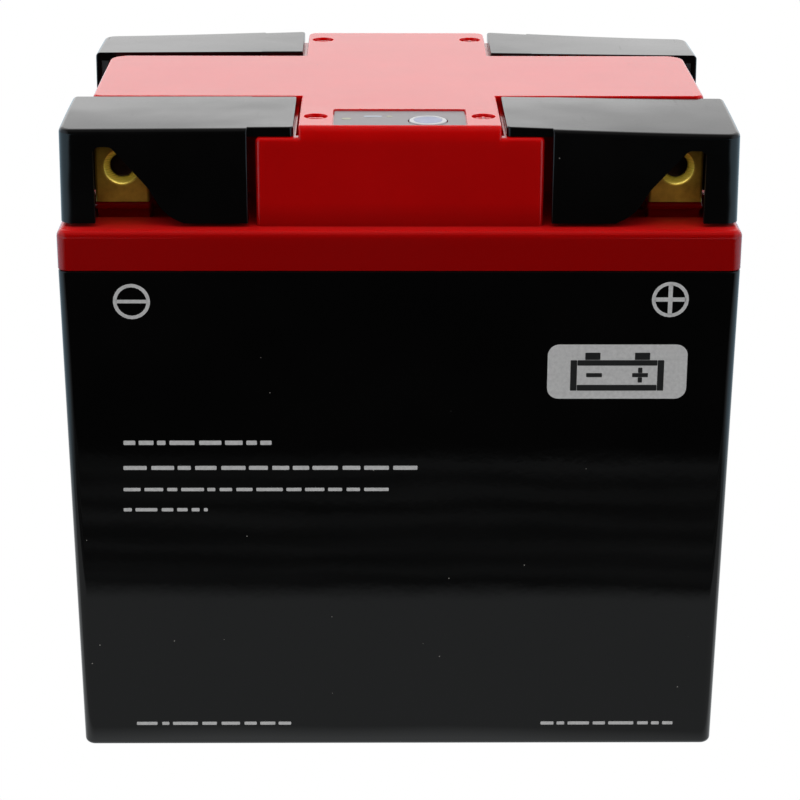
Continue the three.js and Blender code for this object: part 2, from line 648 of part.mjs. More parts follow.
const socketTop = BOARD_TOP + FIT + 5 + FIT;
add('indicator_harness', wire([
  [0, -15, socketTop + FIT], [0, -15.5, 127], [0, -24, 147], [0, -42, 161],
  [0, -48, INDICATOR_BOARD_TOP - BOARD_THICKNESS - 1.2],
], 1.6), WHITE_WIRE);

add('balance_harness', wire([
  [14, 14, BOARD_TOP + FIT + 0.5], [14.5, 17, 120.5], [14, 23.4, 120], [13, 24.5, 114],
  [10, 14, 110.4],
], 1.2, 20), WHITE_WIRE);

// ---------------------------------------------------------------- foam packing
// The case is far larger than the cells, so closed-cell foam fills the rest.
const PACK_BOTTOM = stripBelow - FIT;
const FOAM_TOP = 104;
const FOAM_X = 88;
const FOAM_Y = 62.5;
add('foam_base', block(-FOAM_X + 1, FOAM_X - 1, -FOAM_Y + 1, FOAM_Y - 1,
  CASE_FLOOR + FIT, PACK_BOTTOM), FOAM);
for (const [side, sign] of SIDES) {
  add(`foam_${side}`, block(sign * (HOLDER_HALF_X + FIT), sign * FOAM_X, -FOAM_Y, FOAM_Y,
    PACK_BOTTOM + FIT, FOAM_TOP), FOAM);
}
for (const [end, sign] of [['front', -1], ['back', 1]]) {
  add(`foam_${end}`, block(-HOLDER_HALF_X, HOLDER_HALF_X,
    sign * (HOLDER_HALF_Y + FIT), sign * FOAM_Y, PACK_BOTTOM + FIT, FOAM_TOP), FOAM);
}

export default battery;
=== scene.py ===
"""A motorcycle battery: gloss black case, gloss red lid, black terminal covers, brass terminals.

Shapes are drawn in millimetres in the frame of the CAD part and turned into metres at the end.
"""
import math
import random

import bmesh
import bpy
from mathutils import Matrix, Vector


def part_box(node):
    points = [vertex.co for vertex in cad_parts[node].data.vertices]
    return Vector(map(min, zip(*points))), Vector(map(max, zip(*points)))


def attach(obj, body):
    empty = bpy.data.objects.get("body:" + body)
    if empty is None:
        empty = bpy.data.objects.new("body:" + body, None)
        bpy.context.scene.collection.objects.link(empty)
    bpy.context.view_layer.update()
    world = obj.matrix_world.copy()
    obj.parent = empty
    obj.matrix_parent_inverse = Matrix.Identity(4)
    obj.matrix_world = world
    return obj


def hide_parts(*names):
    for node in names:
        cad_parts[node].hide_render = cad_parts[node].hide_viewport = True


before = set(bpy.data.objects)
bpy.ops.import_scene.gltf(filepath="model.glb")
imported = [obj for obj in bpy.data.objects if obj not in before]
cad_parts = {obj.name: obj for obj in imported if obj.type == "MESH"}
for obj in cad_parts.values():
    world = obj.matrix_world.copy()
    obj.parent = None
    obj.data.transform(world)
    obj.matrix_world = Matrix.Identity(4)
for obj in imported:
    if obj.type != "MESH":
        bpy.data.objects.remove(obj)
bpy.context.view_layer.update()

MM = 0.001
SCENE = bpy.context.scene


# ------------------------------------------------------------------ sizes, in millimetres
def node_box(node):
    low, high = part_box(node)
    return [value / MM for value in low], [value / MM for value in high]


LID_LOW, LID_HIGH = node_box("lid")
_, CASE_HIGH = node_box("case_body")
COVER_LOW, COVER_HIGH = node_box("terminal_cover_front_left")
BACK_COVER_LOW, _ = node_box("terminal_cover_back_left")
TERMINAL_LOW, TERMINAL_HIGH = node_box("terminal_front_left")
BACK_TERMINAL_LOW, BACK_TERMINAL_HIGH = node_box("terminal_back_left")
LABEL_LOW, LABEL_HIGH = node_box("status_label")
BUTTON_LOW, BUTTON_HIGH = node_box("test_button")

BAND_HALF_X = LID_HIGH[0]
BAND_HALF_Y = LID_HIGH[1]
BAND_BOTTOM = CASE_HIGH[2] + 0.3
BAND_TOP = COVER_LOW[2] - 0.3
BAND_WALL = 4.6
BAND_CORNER = 3.4
DECK_UNDERSIDE = BAND_TOP - 2.6
SKIRT_BOTTOM = LID_LOW[2]
SKIRT_WALL = 1.8

CASE_HALF_X = CASE_HIGH[0]
CASE_HALF_Y = CASE_HIGH[1]
CASE_TOP = CASE_HIGH[2]
CASE_DRAFT = 0.0103
CASE_WALL = 2.2
CASE_FLOOR = 2.5
CASE_CORNER = 3.1
BASE_EDGE = 1.5
RIM_EDGE = 0.4

LID_TOP = LID_HIGH[2]
LID_WALL = 2.2
LID_ROOF = 2.4
LID_FRONT = -62.6
LID_BACK = 63.4
CENTRE_HALF = 27.5
SHOULDER_HALF = 39.2
SHOULDER_TOP = LID_TOP - 3.1
ARM_HALF = 86.9
ARM_FRONT = -25.4
ARM_BACK = 28.9
MIDDLE_BOX = (-CENTRE_HALF, CENTRE_HALF, LID_FRONT, LID_BACK)
ARMS_BOX = (-ARM_HALF, ARM_HALF, ARM_FRONT, ARM_BACK)
SHOULDER_BOX = (-SHOULDER_HALF, SHOULDER_HALF, LID_FRONT, LID_BACK)

COVER_TOP = COVER_HIGH[2]
COVER_FOOT_GAP = 0.7
COVER_BOTTOM = COVER_LOW[2] + COVER_FOOT_GAP
COVER_DRAFT = 0.0118
COVER_HALF_X = 92.4
COVER_FACES = {"front": 63.0, "back": 64.5}
COVER_DEPTHS = {
    "front": COVER_FACES["front"] + COVER_HIGH[1], "back": COVER_FACES["back"] - BACK_COVER_LOW[1]}
PEG_SHARES = {"front": (0.29, 0.87), "back": (0.29, 0.8)}
COVER_WALL = 1.8
COVER_ROOF = 2.6
COVER_LENGTH = 51.0
TONGUE_LENGTH = 63.5
TONGUE_SETBACK = 1.6
TONGUE_CLEARANCE = 0.1
PEG_INSET = 58.5
PEG_RADIUS = 1.6
PEG_LENGTH = 4.2
PEG_HOLE = 1.9
POST_WIDTH = 9.3
WINDOW_TOP = COVER_TOP - 4.9
RIB_X = (0.9, 6.2)
RIB_DEPTH = (2.6, 0.2)

TERMINAL_X = (TERMINAL_HIGH[0] + TERMINAL_LOW[0]) / -2
TERMINAL_HALF = (TERMINAL_HIGH[0] - TERMINAL_LOW[0]) / 2
TERMINAL_FRONT_Y = (TERMINAL_LOW[1] + TERMINAL_HIGH[1]) / 2
TERMINAL_BACK_Y = (BACK_TERMINAL_LOW[1] + BACK_TERMINAL_HIGH[1]) / 2
TERMINAL_TOP = TERMINAL_HIGH[2]
TERMINAL_FOOT = 160.2
STUD_END = TERMINAL_LOW[2]
STUD_RADIUS = 4.0
STUD_GAP = 0.3
BOLT_HOLE = 3.3
BOLT_HOLE_RIM = 5.5
BOLT_HOLE_Z = 170.3
NUT_SLOT_HALF = 4.3
NUT_SLOT_BACK = 4.5
NUT_SLOT_HEIGHTS = (BOLT_HOLE_Z - 5.4, BOLT_HOLE_Z + 5)

COVER_LIFTS = {
    ("front", "left"): (-0.2, -0.05, 0.15, 0.15), ("front", "right"): (-1.55, 0.05, 0.2, -0.3),
    ("back", "left"): (-1.05, 0.2, -0.45, -0.35), ("back", "right"): (-1.8, 0.2, -0.75, -1.05),
}
COVER_CROWNS = {"front": 1.0, "back": 0.25}
COVER_SHEARS = {
    ("front", "left"): 0.0, ("front", "right"): 0.0, ("back", "left"): 2.2, ("back", "right"): 1.5}
CROWN_LINE = 0.62
WELLS = {"front": (TERMINAL_FRONT_Y, -53.3, -29.5), "back": (TERMINAL_BACK_Y, 36.2, 58.5)}
WELL_FLOOR = BAND_TOP - 4.0
TRAY_BOTTOM = BAND_TOP - 6.0
WELL_OUTER_X = 88.4
WELL_INNER_X = 62.0
PLINTH_TOP = TERMINAL_FOOT - 0.1
PLINTH_HALF = TERMINAL_HALF + 0.2
PLINTH_LIP = 1.9
SEAL_RADIUS = 6.5

BUTTON_X = (BUTTON_LOW[0] + BUTTON_HIGH[0]) / 2
BUTTON_Y = (BUTTON_LOW[1] + BUTTON_HIGH[1]) / 2
BUTTON_RADIUS = 5.2
BUTTON_GAP = 0.3
BUTTON_FLANGE = BUTTON_RADIUS + 1.2
LED_Y = -51.5
LED_XS = (-14.0, -9.2, -4.4)
LED_RADIUS = 1.4
LED_GAP = 0.3
LABEL_ROOM = (-18.3, 18.3, -60.2, -41.6)
LABEL_RECESS = 0.8
MARK_X = 23.0
MARK_YS = (-50.2, 52.3)
MARK_RADIUS = 3.3
MARK_DEPTH = 1.0
SIGN_HALF = MARK_RADIUS * 0.62
SIGN_STROKE = 0.42
SIGN_TOP = LID_TOP - 0.45

SIDES = (("left", -1), ("right", 1))
ENDS = ("front", "back")

CAMERA_PLACE = (-0.00715, -0.70499, 0.34217)
CAMERA_ELEVATION = 20.1
CAMERA_YAW = 0.658
CAMERA_ROLL = 0.208
CAMERA_LENS = 109.73


# ------------------------------------------------------------------ camera
def make_camera():
    """Looks at the front from slightly above, with a long lens."""
    elevation = math.radians(CAMERA_ELEVATION)
    yaw = math.radians(CAMERA_YAW)
    roll = math.radians(CAMERA_ROLL)
    forward = Vector((
        math.sin(yaw) * math.cos(elevation), math.cos(yaw) * math.cos(elevation), -math.sin(elevation)))
    right = Vector((math.cos(yaw), -math.sin(yaw), 0))
    up = right.cross(forward)
    turned_right = right * math.cos(roll) + up * math.sin(roll)
    turned_up = up * math.cos(roll) - right * math.sin(roll)
    data = bpy.data.cameras.new("camera")
    camera = bpy.data.objects.new("camera", data)
    SCENE.collection.objects.link(camera)
    rotation = Matrix((turned_right, turned_up, -forward)).transposed().to_4x4()
    camera.matrix_world = Matrix.Translation(CAMERA_PLACE) @ rotation
    data.lens = CAMERA_LENS
    data.clip_start = 0.01
    SCENE.camera = camera


# ------------------------------------------------------------------ mesh tools
def quarter_turns(steps):
    """Angles from nothing to a quarter turn."""
    return [math.pi / 2 * step / steps for step in range(steps + 1)]


def rounded_corner(before, corner, after, radius, steps):
    """Points of an arc that rounds one corner of an outline."""
    into = (Vector(corner) - Vector(before)).normalized()
    out = (Vector(after) - Vector(corner)).normalized()
    turn = math.atan2(into.x * out.y - into.y * out.x, into.dot(out))
    reach = radius * math.tan(abs(turn) / 2)
    start = Vector(corner) - into * reach
    side = 1 if turn > 0 else -1
    centre = start + Vector((-into.y, into.x)) * radius * side
    arm = start - centre
    points = []
    for step in range(steps + 1):
        angle = turn * step / steps
        points.append((
            centre.x + arm.x * math.cos(angle) - arm.y * math.sin(angle),
            centre.y + arm.x * math.sin(angle) + arm.y * math.cos(angle)))
    return points


def outline(corners, inset=0.0, steps=6):
    """A closed outline with rounded corners, moved inwards by inset. corners: (x, y, radius)."""
    count = len(corners)
    lines = []
    for i in range(count):
        a = Vector(corners[i][:2])
        b = Vector(corners[(i + 1) % count][:2])
        along = (b - a).normalized()
        normal = Vector((-along.y, along.x))
        lines.append((a + normal * inset, along))
    moved = []
    for i in range(count):
        (p, u), (q, v) = lines[i - 1], lines[i]
        cross = u.x * v.y - u.y * v.x
        gap = q - p
        moved.append(p + u * ((gap.x * v.y - gap.y * v.x) / cross))
    points = []
    for i in range(count):
        u, v = lines[i - 1][1], lines[i][1]
        convex = u.x * v.y - u.y * v.x > 0
        radius = max(corners[i][2] + (-inset if convex else inset), 0.05)
        points += rounded_corner(moved[i - 1], moved[i], moved[(i + 1) % count], radius, steps)
    return points


def box_corners(x0, x1, y0, y1, radius):
    """Corners of a box. radius: one for all, or one each for x0 y0, x1 y0, x1 y1 and x0 y1."""
    radii = radius if isinstance(radius, (tuple, list)) else (radius,) * 4
    places = ((x0, y0), (x1, y0), (x1, y1), (x0, y1))
    return [(x, y, r) for (x, y), r in zip(places, radii)]


def loft(rings):
    """A closed mesh through rings of points. rings: lists of (x, y, z) with the same count."""
    bm = bmesh.new()
    levels = [[bm.verts.new(point) for point in ring] for ring in rings]
    count = len(levels[0])
    for low, high in zip(levels, levels[1:]):
        for i in range(count):
            j = (i + 1) % count
            bm.faces.new((low[i], low[j], high[j], high[i]))
    bm.faces.new(list(reversed(levels[0])))
    bm.faces.new(levels[-1])
    return bm


def at_height(points, z):
    return [(x, y, z) for x, y in points]


def plain_slab(corners, bottom, top, inset=0.0):
    """An outline pushed up from bottom to top, with sharp edges."""
    points = outline(corners, inset)
    return loft([at_height(points, z) for z in (bottom, top)])


def rounded_slab(corners, bottom, top, edge, low_edge=0.0, steps=6, edge_steps=5):
    """An outline pushed up from bottom to top, with a rounded top edge and bottom edge."""
    levels = [(0.0, bottom)]
    if low_edge:
        levels = [(low_edge * (1 - math.sin(turn)), bottom + low_edge * (1 - math.cos(turn)))
                  for turn in quarter_turns(edge_steps)]
    levels += [(edge * (1 - math.cos(turn)), top - edge * (1 - math.sin(turn)))
               for turn in quarter_turns(edge_steps)]
    return loft([at_height(outline(corners, inset, steps), z) for inset, z in levels])


def edge_inset(below_top, width, height):
    """How far a rounded top edge lies inside its wall, at a distance below the top."""
    if below_top >= height:
        return 0.0
    return width * (1 - math.sqrt(1 - ((height - below_top) / height) ** 2))


def eased_block(box, radii, bottom, top, edges, steps=6, flare=None, edge_steps=6):
    """A block whose four top edges are rounded differently.

    box: x0, x1, y0, y1. radii: of the corners x0 y0, x1 y0, x1 y1, x0 y1. edges: (width, height)
    of the rounding along x0, x1, y0 and y1. flare: outward lean per millimetre down, by side.
    """
    x0, x1, y0, y1 = box
    flare = flare or (0, 0, 0, 0)
    depths = {top - bottom, 0.0}
    for _, height in edges:
        for turn in quarter_turns(edge_steps)[:-1]:
            depths.add(round(height * (1 - math.sin(turn)), 4))
    rings = []
    for depth in sorted(depths, reverse=True):
        a, b, c, d = [edge_inset(depth, *edge) - lean * depth for edge, lean in zip(edges, flare)]
        pairs = ((a, c), (b, c), (b, d), (a, d))
        corners = []
        places = ((x0 + a, y0 + c), (x1 - b, y0 + c), (x1 - b, y1 - d), (x0 + a, y1 - d))
        for (x, y), radius, insets in zip(places, radii, pairs):
            corners.append((x, y, max(radius - max(min(insets), 0), 0.05)))
        rings.append(at_height(outline(corners, 0, steps), top - depth))
    return loft(rings)


def cuboid(x0, x1, y0, y1, z0, z1):
    """A box between two places in X and Y, given in either order, and two heights."""
    x0, x1 = min(x0, x1), max(x0, x1)
    y0, y1 = min(y0, y1), max(y0, y1)
    corners = ((x0, y0), (x1, y0), (x1, y1), (x0, y1))
    return loft([[(x, y, z) for x, y in corners] for z in (z0, z1)])


def round_bar(profile, centre=(0, 0, 0), axis="Z", segments=48):
    """A turned piece. profile: (radius, height) pairs from the bottom up."""
    rings = []
    for radius, height in profile:
        ring = []
        for i in range(segments):
            angle = 2 * math.pi * i / segments
            ring.append((radius * math.cos(angle), radius * math.sin(angle), height))
        rings.append(ring)
    bm = loft(rings)
    if axis == "Y":
        bm.transform(Matrix.Rotation(math.radians(-90), 4, "X"))
    bm.transform(Matrix.Translation(centre))
    return bm


def drill(radius, bottom, top, x, y, segments=48):
    """An upright bar, to cut a round hole with."""
    return round_bar([(radius, bottom), (radius, top)], (x, y, 0), segments=segments)


def pushed_outline(corners, ya, yb, steps=6):
    """An outline drawn in X and Z, pushed along Y from ya to yb."""
    points = outline(corners, 0, steps)
    return loft([[(x, y, z) for x, z in points] for y in (yb, ya)])


def to_object(name, bm):
    bmesh.ops.recalc_face_normals(bm, faces=bm.faces)
    mesh = bpy.data.meshes.new(name)
    bm.to_mesh(mesh)
    bm.free()
    made = bpy.data.objects.new(name, mesh)
    SCENE.collection.objects.link(made)
    return made


def apply_modifiers(piece):
    depsgraph = bpy.context.evaluated_depsgraph_get()
    mesh = bpy.data.meshes.new_from_object(piece.evaluated_get(depsgraph))
    piece.modifiers.clear()
    piece.data = mesh


def combine(piece, tools, operation):
    """Adds or cuts meshes, one after another."""
    for tool in tools:
        other = to_object("tool", tool)
        modifier = piece.modifiers.new("combine", "BOOLEAN")
        modifier.operation = operation
        modifier.solver = "EXACT"
        modifier.object = other
        apply_modifiers(piece)
        bpy.data.objects.remove(other)
    return piece


def join(piece, *tools):
    return combine(piece, tools, "UNION")


def cut(piece, *tools):
    return combine(piece, tools, "DIFFERENCE")


def soften(piece, width, segments=2, angle=35):
    """Rounds the sharp edges by a bevel, and merges the leftovers of cutting first."""
    bm = bmesh.new()
    bm.from_mesh(piece.data)
    bmesh.ops.remove_doubles(bm, verts=bm.verts, dist=0.002)
    bmesh.ops.dissolve_limit(
        bm, angle_limit=math.radians(0.4), verts=bm.verts, edges=bm.edges, use_dissolve_boundaries=False)
    bm.to_mesh(piece.data)
    bm.free()
    bevel = piece.modifiers.new("edges", "BEVEL")
    bevel.width = width
    bevel.segments = segments
    bevel.limit_method = "ANGLE"
    bevel.angle_limit = math.radians(angle)
    bevel.use_clamp_overlap = True
    bevel.miter_outer = "MITER_ARC"
    apply_modifiers(piece)
    return piece


def finish_piece(piece, body, material, *stands_for, slot=None, angle=40):
    """Turns a piece into metres, smooths it and hangs it on its body."""
    piece.data.transform(Matrix.Scale(MM, 4))
    piece.data.shade_smooth()
    piece.data.set_sharp_from_angle(angle=math.radians(angle))
    weighted = piece.modifiers.new("normals", "WEIGHTED_NORMAL")
    weighted.keep_sharp = True
    weighted.weight = 80
    piece.data.materials.clear()
    piece.data.materials.append(material)
    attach(piece, body)
    if stands_for:
        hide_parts(*stands_for)
    return piece


# ------------------------------------------------------------------ materials
def shade(value):
    """A grey."""
    return (value, value, value, 1)


def new_material(name):
    """A material with its node tree and its main shader."""
    material = bpy.data.materials.new(name)
    material.use_nodes = True
    return material, material.node_tree, material.node_tree.nodes["Principled BSDF"]


def add_node(tree, kind, inputs=None, **settings):
    """Adds a shader node. inputs: socket name or number to a value or to another socket."""
    made = tree.nodes.new(kind)
    for key, value in settings.items():
        setattr(made, key, value)
    for key, value in (inputs or {}).items():
        if isinstance(value, bpy.types.NodeSocket):
            tree.links.new(value, made.inputs[key])
        else:
            made.inputs[key].default_value = value
    return made


def compute(tree, operation, *values):
    """A maths node. values: numbers or sockets, in the order of its inputs."""
    return add_node(tree, "ShaderNodeMath", dict(enumerate(values)), operation=operation).outputs[0]


def blend(tree, factor, first, second):
    """A number between two others."""
    return add_node(tree, "ShaderNodeMix", {0: factor, 2: first, 3: second}).outputs[0]


def axis_of(tree, vector, axis):
    return add_node(tree, "ShaderNodeSeparateXYZ", {"Vector": vector}).outputs[axis]


def object_place(tree):
    return add_node(tree, "ShaderNodeTexCoord").outputs["Object"]


def noise(tree, place, scale, detail=3.0, roughness=0.55, distortion=0.0):
    made = add_node(tree, "ShaderNodeTexNoise", {
        "Vector": place, "Scale": scale, "Detail": detail, "Roughness": roughness,
        "Distortion": distortion})
    return made.outputs["Fac"]


def remap(tree, value, low, high, to_low=0.0, to_high=1.0):
    made = add_node(tree, "ShaderNodeMapRange", {
        "Value": value, "From Min": low, "From Max": high, "To Min": to_low, "To Max": to_high})
    return made.outputs["Result"]


def mixed(tree, factor, first, second):
    """A colour between two others."""
    made = add_node(tree, "ShaderNodeMix", data_type="RGBA")
    for key, value in ((0, factor), (6, first), (7, second)):
        if isinstance(value, bpy.types.NodeSocket):
            tree.links.new(value, made.inputs[key])
        else:
            made.inputs[key].default_value = value
    return made.outputs[2]


def stretched(tree, place, scale, turn=(0, 0, 0)):
    """Texture places scaled by axis, so that a grain runs along the axis of the smallest scale."""
    return add_node(tree, "ShaderNodeMapping", {
        "Vector": place, "Scale": scale, "Rotation": turn}).outputs["Vector"]


def dust_specks(tree, place, spacing, share, size):
    """1 on sparse small specks.

    spacing: of the cells, in metres. share: of the cells that hold a speck. size: of the largest
    speck, as a part of the spacing.
    """
    cells = add_node(tree, "ShaderNodeTexVoronoi", {"Vector": place, "Scale": 1 / spacing})
    chance = add_node(tree, "ShaderNodeSeparateColor", {"Color": cells.outputs["Color"]})
    held = compute(tree, "GREATER_THAN", chance.outputs["Red"], 1 - share)
    reach = remap(tree, chance.outputs["Green"], 0, 1, size * 0.4, size)
    near = compute(tree, "LESS_THAN", cells.outputs["Distance"], reach)
    return compute(tree, "MULTIPLY", held, near)


def bumped(tree, shader, heights):
    """Chains bumps. heights: (height socket, strength, distance in metres)."""
    normal = None
    for height, strength, distance in heights:
        inputs = {"Height": height, "Strength": strength, "Distance": distance}
        if normal is not None:
            inputs["Normal"] = normal
        normal = add_node(tree, "ShaderNodeBump", inputs).outputs["Normal"]
    tree.links.new(normal, shader.inputs["Normal"])


SPECK_SPACING = 0.0024
DULL_ROUGHNESS = 0.45
DULL_FADE = 0.0004
# painted shade at the foot of the lid's front and back walls: its darkness, the height it fades over, and
# the rows of Y it lies in
PAINTED_WALL_SHADE = 0.68
PAINTED_SHADE_HEIGHT = 0.0065
PAINTED_SHADE_ROWS = (0.052, 0.058)
SPREAD_SHARE = 0.6
SPREAD_BY_COLOUR = (1.0, 0.15, 0.1)


def painted_wall_shade(tree, place, facing, base, deep, dull_and_shade_below):
    """Painted shade: darkens the foot of the steep faces at the front and back, where a wall meets a
    ledge.
    """
    level = axis_of(tree, place, "Z")
    row = compute(tree, "ABSOLUTE", axis_of(tree, place, "Y"))
    steep = remap(tree, facing, 0.25, 0.85, 1, 0)
    low = remap(tree, level, dull_and_shade_below, dull_and_shade_below + PAINTED_SHADE_HEIGHT, 1, 0)
    wall = compute(tree, "MULTIPLY", steep, low)
    wall = compute(tree, "MULTIPLY", wall, remap(tree, row, *PAINTED_SHADE_ROWS))
    return mixed(tree, wall, base, tuple(part * PAINTED_WALL_SHADE for part in deep[:3]) + (1,))


def gloss_plastic(name, color, deep, roughness, specular, dust=0.02, wave=0.35, scratches=0.3,
                  speck_color=(0.32, 0.31, 0.29, 1), speck_size=0.1, dull_and_shade_below=None, depth=None):
    """Injection-moulded gloss plastic: slight flow waves, fine scratches, smudges and dust.

    dust: share of specks. wave and scratches: strength. dull_and_shade_below: upward faces under this
    height, in metres, are less polished, walls get a painted shade near their foot, and dust lies on
    upward faces only. depth: how far light spreads under the surface, in metres.
    """
    material, tree, shader = new_material(name)
    place = object_place(tree)
    clouds = noise(tree, place, 38, 4)
    base = mixed(tree, remap(tree, clouds, 0.35, 0.7), color, deep)
    specks = dust_specks(tree, place, SPECK_SPACING, dust, speck_size)
    if dull_and_shade_below:
        facing = axis_of(tree, add_node(tree, "ShaderNodeNewGeometry").outputs["Normal"], "Z")
        upward = remap(tree, facing, 0.85, 0.97)
        specks = compute(tree, "MULTIPLY", specks, upward)
    base = mixed(tree, specks, base, speck_color)
    # painted shade at the foot of the front and back walls
    if dull_and_shade_below:
        base = painted_wall_shade(tree, place, facing, base, deep, dull_and_shade_below)
    tree.links.new(base, shader.inputs["Base Color"])
    smudge = noise(tree, place, 24, 5, 0.62, 0.6)
    scratch_place = stretched(tree, place, (1500, 90, 1500), (0.2, 0.3, 0.35))
    scratch = remap(tree, noise(tree, scratch_place, 1.0, 2), 0.66, 0.78)
    rough = remap(tree, smudge, 0.3, 0.75, roughness * 0.8, roughness * 1.35)
    rough = compute(tree, "MULTIPLY_ADD", scratch, 0.1 * scratches, rough)
    rough = compute(tree, "MULTIPLY_ADD", specks, 0.5, rough)
    if dull_and_shade_below:
        under = remap(tree, axis_of(tree, place, "Z"), dull_and_shade_below, dull_and_shade_below + DULL_FADE, 1, 0)
        dull = compute(tree, "MULTIPLY", upward, under)
        rough = compute(tree, "MULTIPLY_ADD", dull, DULL_ROUGHNESS, rough)
    tree.links.new(rough, shader.inputs["Roughness"])
    tree.links.new(remap(tree, specks, 0, 1, specular, 0), shader.inputs["Specular IOR Level"])
    if depth:
        shader.inputs["Subsurface Weight"].default_value = SPREAD_SHARE
        shader.inputs["Subsurface Scale"].default_value = depth
        shader.inputs["Subsurface Radius"].default_value = SPREAD_BY_COLOUR
    flow = noise(tree, stretched(tree, place, (1, 1, 1.6)), 20, 2, 0.4)
    peel = noise(tree, place, 420, 2)
    bumped(tree, shader, [
        (flow, wave, 0.0012), (peel, 0.06, 0.0001), (scratch, 0.05 * scratches, 0.0001)])
    return material


def machined_brass(name, clean, tarnished, metallic, roughness):
    """Brass with fine turning lines, slightly tarnished in patches."""
    material, tree, shader = new_material(name)
    place = object_place(tree)
    tarnish = remap(tree, noise(tree, place, 210, 5, 0.65), 0.38, 0.68)
    tree.links.new(mixed(tree, tarnish, clean, tarnished), shader.inputs["Base Color"])
    shader.inputs["Metallic"].default_value = metallic
    lines = noise(tree, stretched(tree, place, (60, 60, 5200)), 1.0, 2)
    rough = remap(tree, lines, 0.3, 0.75, roughness * 0.85, roughness * 1.15)
    tree.links.new(rough, shader.inputs["Roughness"])
    bumped(tree, shader, [(lines, 0.1, 0.00005), (tarnish, 0.05, 0.0001)])
    return material


def plated_metal(name, color, roughness, grain_scale=(3000, 90, 3000)):
    """Plated or rolled metal with a fine grain along one direction."""
    material, tree, shader = new_material(name)
    place = object_place(tree)
    clouds = remap(tree, noise(tree, place, 160, 4), 0.35, 0.7)
    dark = tuple(part * 0.7 for part in color[:3]) + (1,)
    tree.links.new(mixed(tree, clouds, color, dark), shader.inputs["Base Color"])
    shader.inputs["Metallic"].default_value = 1.0
    grain = noise(tree, stretched(tree, place, grain_scale), 1.0, 2)
    tree.links.new(remap(tree, grain, 0.3, 0.7, roughness * 0.75, roughness * 1.3),
                   shader.inputs["Roughness"])
    bumped(tree, shader, [(grain, 0.1, 0.00006)])
    return material


def soft_solid(name, color, second, scale, roughness, bump_scale, bump):
    """Matt plastic, rubber, foam, wire and board: two shades and a fine surface grain."""
    material, tree, shader = new_material(name)
    place = object_place(tree)
    clouds = remap(tree, noise(tree, place, scale, 4), 0.35, 0.7)
    tree.links.new(mixed(tree, clouds, color, second), shader.inputs["Base Color"])
    grain = noise(tree, place, bump_scale, 3)
    tree.links.new(remap(tree, grain, 0.3, 0.7, roughness * 0.9, min(roughness * 1.1, 1)),
                   shader.inputs["Roughness"])
    bumped(tree, shader, [(grain, bump, 0.0003)])
    return material


def cell_foam(name):
    """White packing foam with closed cells of about a millimetre."""
    material, tree, shader = new_material(name)
    place = object_place(tree)
    cells = add_node(tree, "ShaderNodeTexVoronoi", {"Vector": place, "Scale": 900.0})
    rim = remap(tree, cells.outputs["Distance"], 0.1, 0.65)
    tree.links.new(mixed(tree, rim, (0.86, 0.86, 0.86, 1), (0.7, 0.71, 0.72, 1)),
                   shader.inputs["Base Color"])
    shader.inputs["Roughness"].default_value = 0.9
    bumped(tree, shader, [(rim, 0.4, 0.0004)])
    return material


def circuit_board(name):
    """Green solder mask with faint copper tracks under it."""
    material, tree, shader = new_material(name)
    place = object_place(tree)
    bricks = add_node(tree, "ShaderNodeTexBrick", {
        "Vector": stretched(tree, place, (320, 320, 320)), "Scale": 1.0, "Mortar Size": 0.05,
        "Color1": (0.02, 0.16, 0.07, 1), "Color2": (0.015, 0.12, 0.05, 1),
        "Mortar": (0.05, 0.26, 0.11, 1)})
    tree.links.new(bricks.outputs["Color"], shader.inputs["Base Color"])
    rough = remap(tree, noise(tree, place, 300, 2), 0.3, 0.7, 0.3, 0.45)
    tree.links.new(rough, shader.inputs["Roughness"])
    bumped(tree, shader, [(bricks.outputs["Fac"], 0.15, 0.0001)])
    return material


def printed_ink(name, color, second):
    """Screen-printed ink: slightly uneven cover and a matt surface."""
    return soft_solid(name, color, second, 900, 0.5, 2600, 0.05)


def label_film(name):
    """Silver-grey printed film with a brushed pattern."""
    material, tree, shader = new_material(name)
    place = object_place(tree)
    streaks = noise(tree, stretched(tree, place, (80, 5200, 80)), 1.0, 3)
    tree.links.new(mixed(tree, remap(tree, streaks, 0.3, 0.7),
                         (0.17, 0.155, 0.165, 1), (0.24, 0.22, 0.23, 1)),
                   shader.inputs["Base Color"])
    tree.links.new(remap(tree, streaks, 0.3, 0.7, 0.3, 0.42), shader.inputs["Roughness"])
    crinkle = noise(tree, place, 130, 3)
    bumped(tree, shader, [(crinkle, 0.2, 0.0005)])
    return material


def clear_lens(name):
    """Milky clear lens of a status light."""
    material, tree, shader = new_material(name)
    place = object_place(tree)
    milk = remap(tree, noise(tree, place, 800, 2), 0.3, 0.7)
    tree.links.new(mixed(tree, milk, (0.62, 0.68, 0.62, 1), (0.74, 0.78, 0.72, 1)),
                   shader.inputs["Base Color"])
    tree.links.new(remap(tree, milk, 0, 1, 0.1, 0.2), shader.inputs["Roughness"])
    bumped(tree, shader, [(milk, 0.05, 0.0001)])
    return material


BLACK_CASE = gloss_plastic(
    "gloss_black_case", shade(0.002), (0.0028, 0.0027, 0.0027, 1), 0.045, 0.45,
    dust=0.03, wave=0.1)
BLACK_COVER = gloss_plastic(
    "gloss_black_cover", shade(0.002), (0.003, 0.0028, 0.0028, 1), 0.15, 0.45,
    dust=0.015, wave=0.75, scratches=1.0)
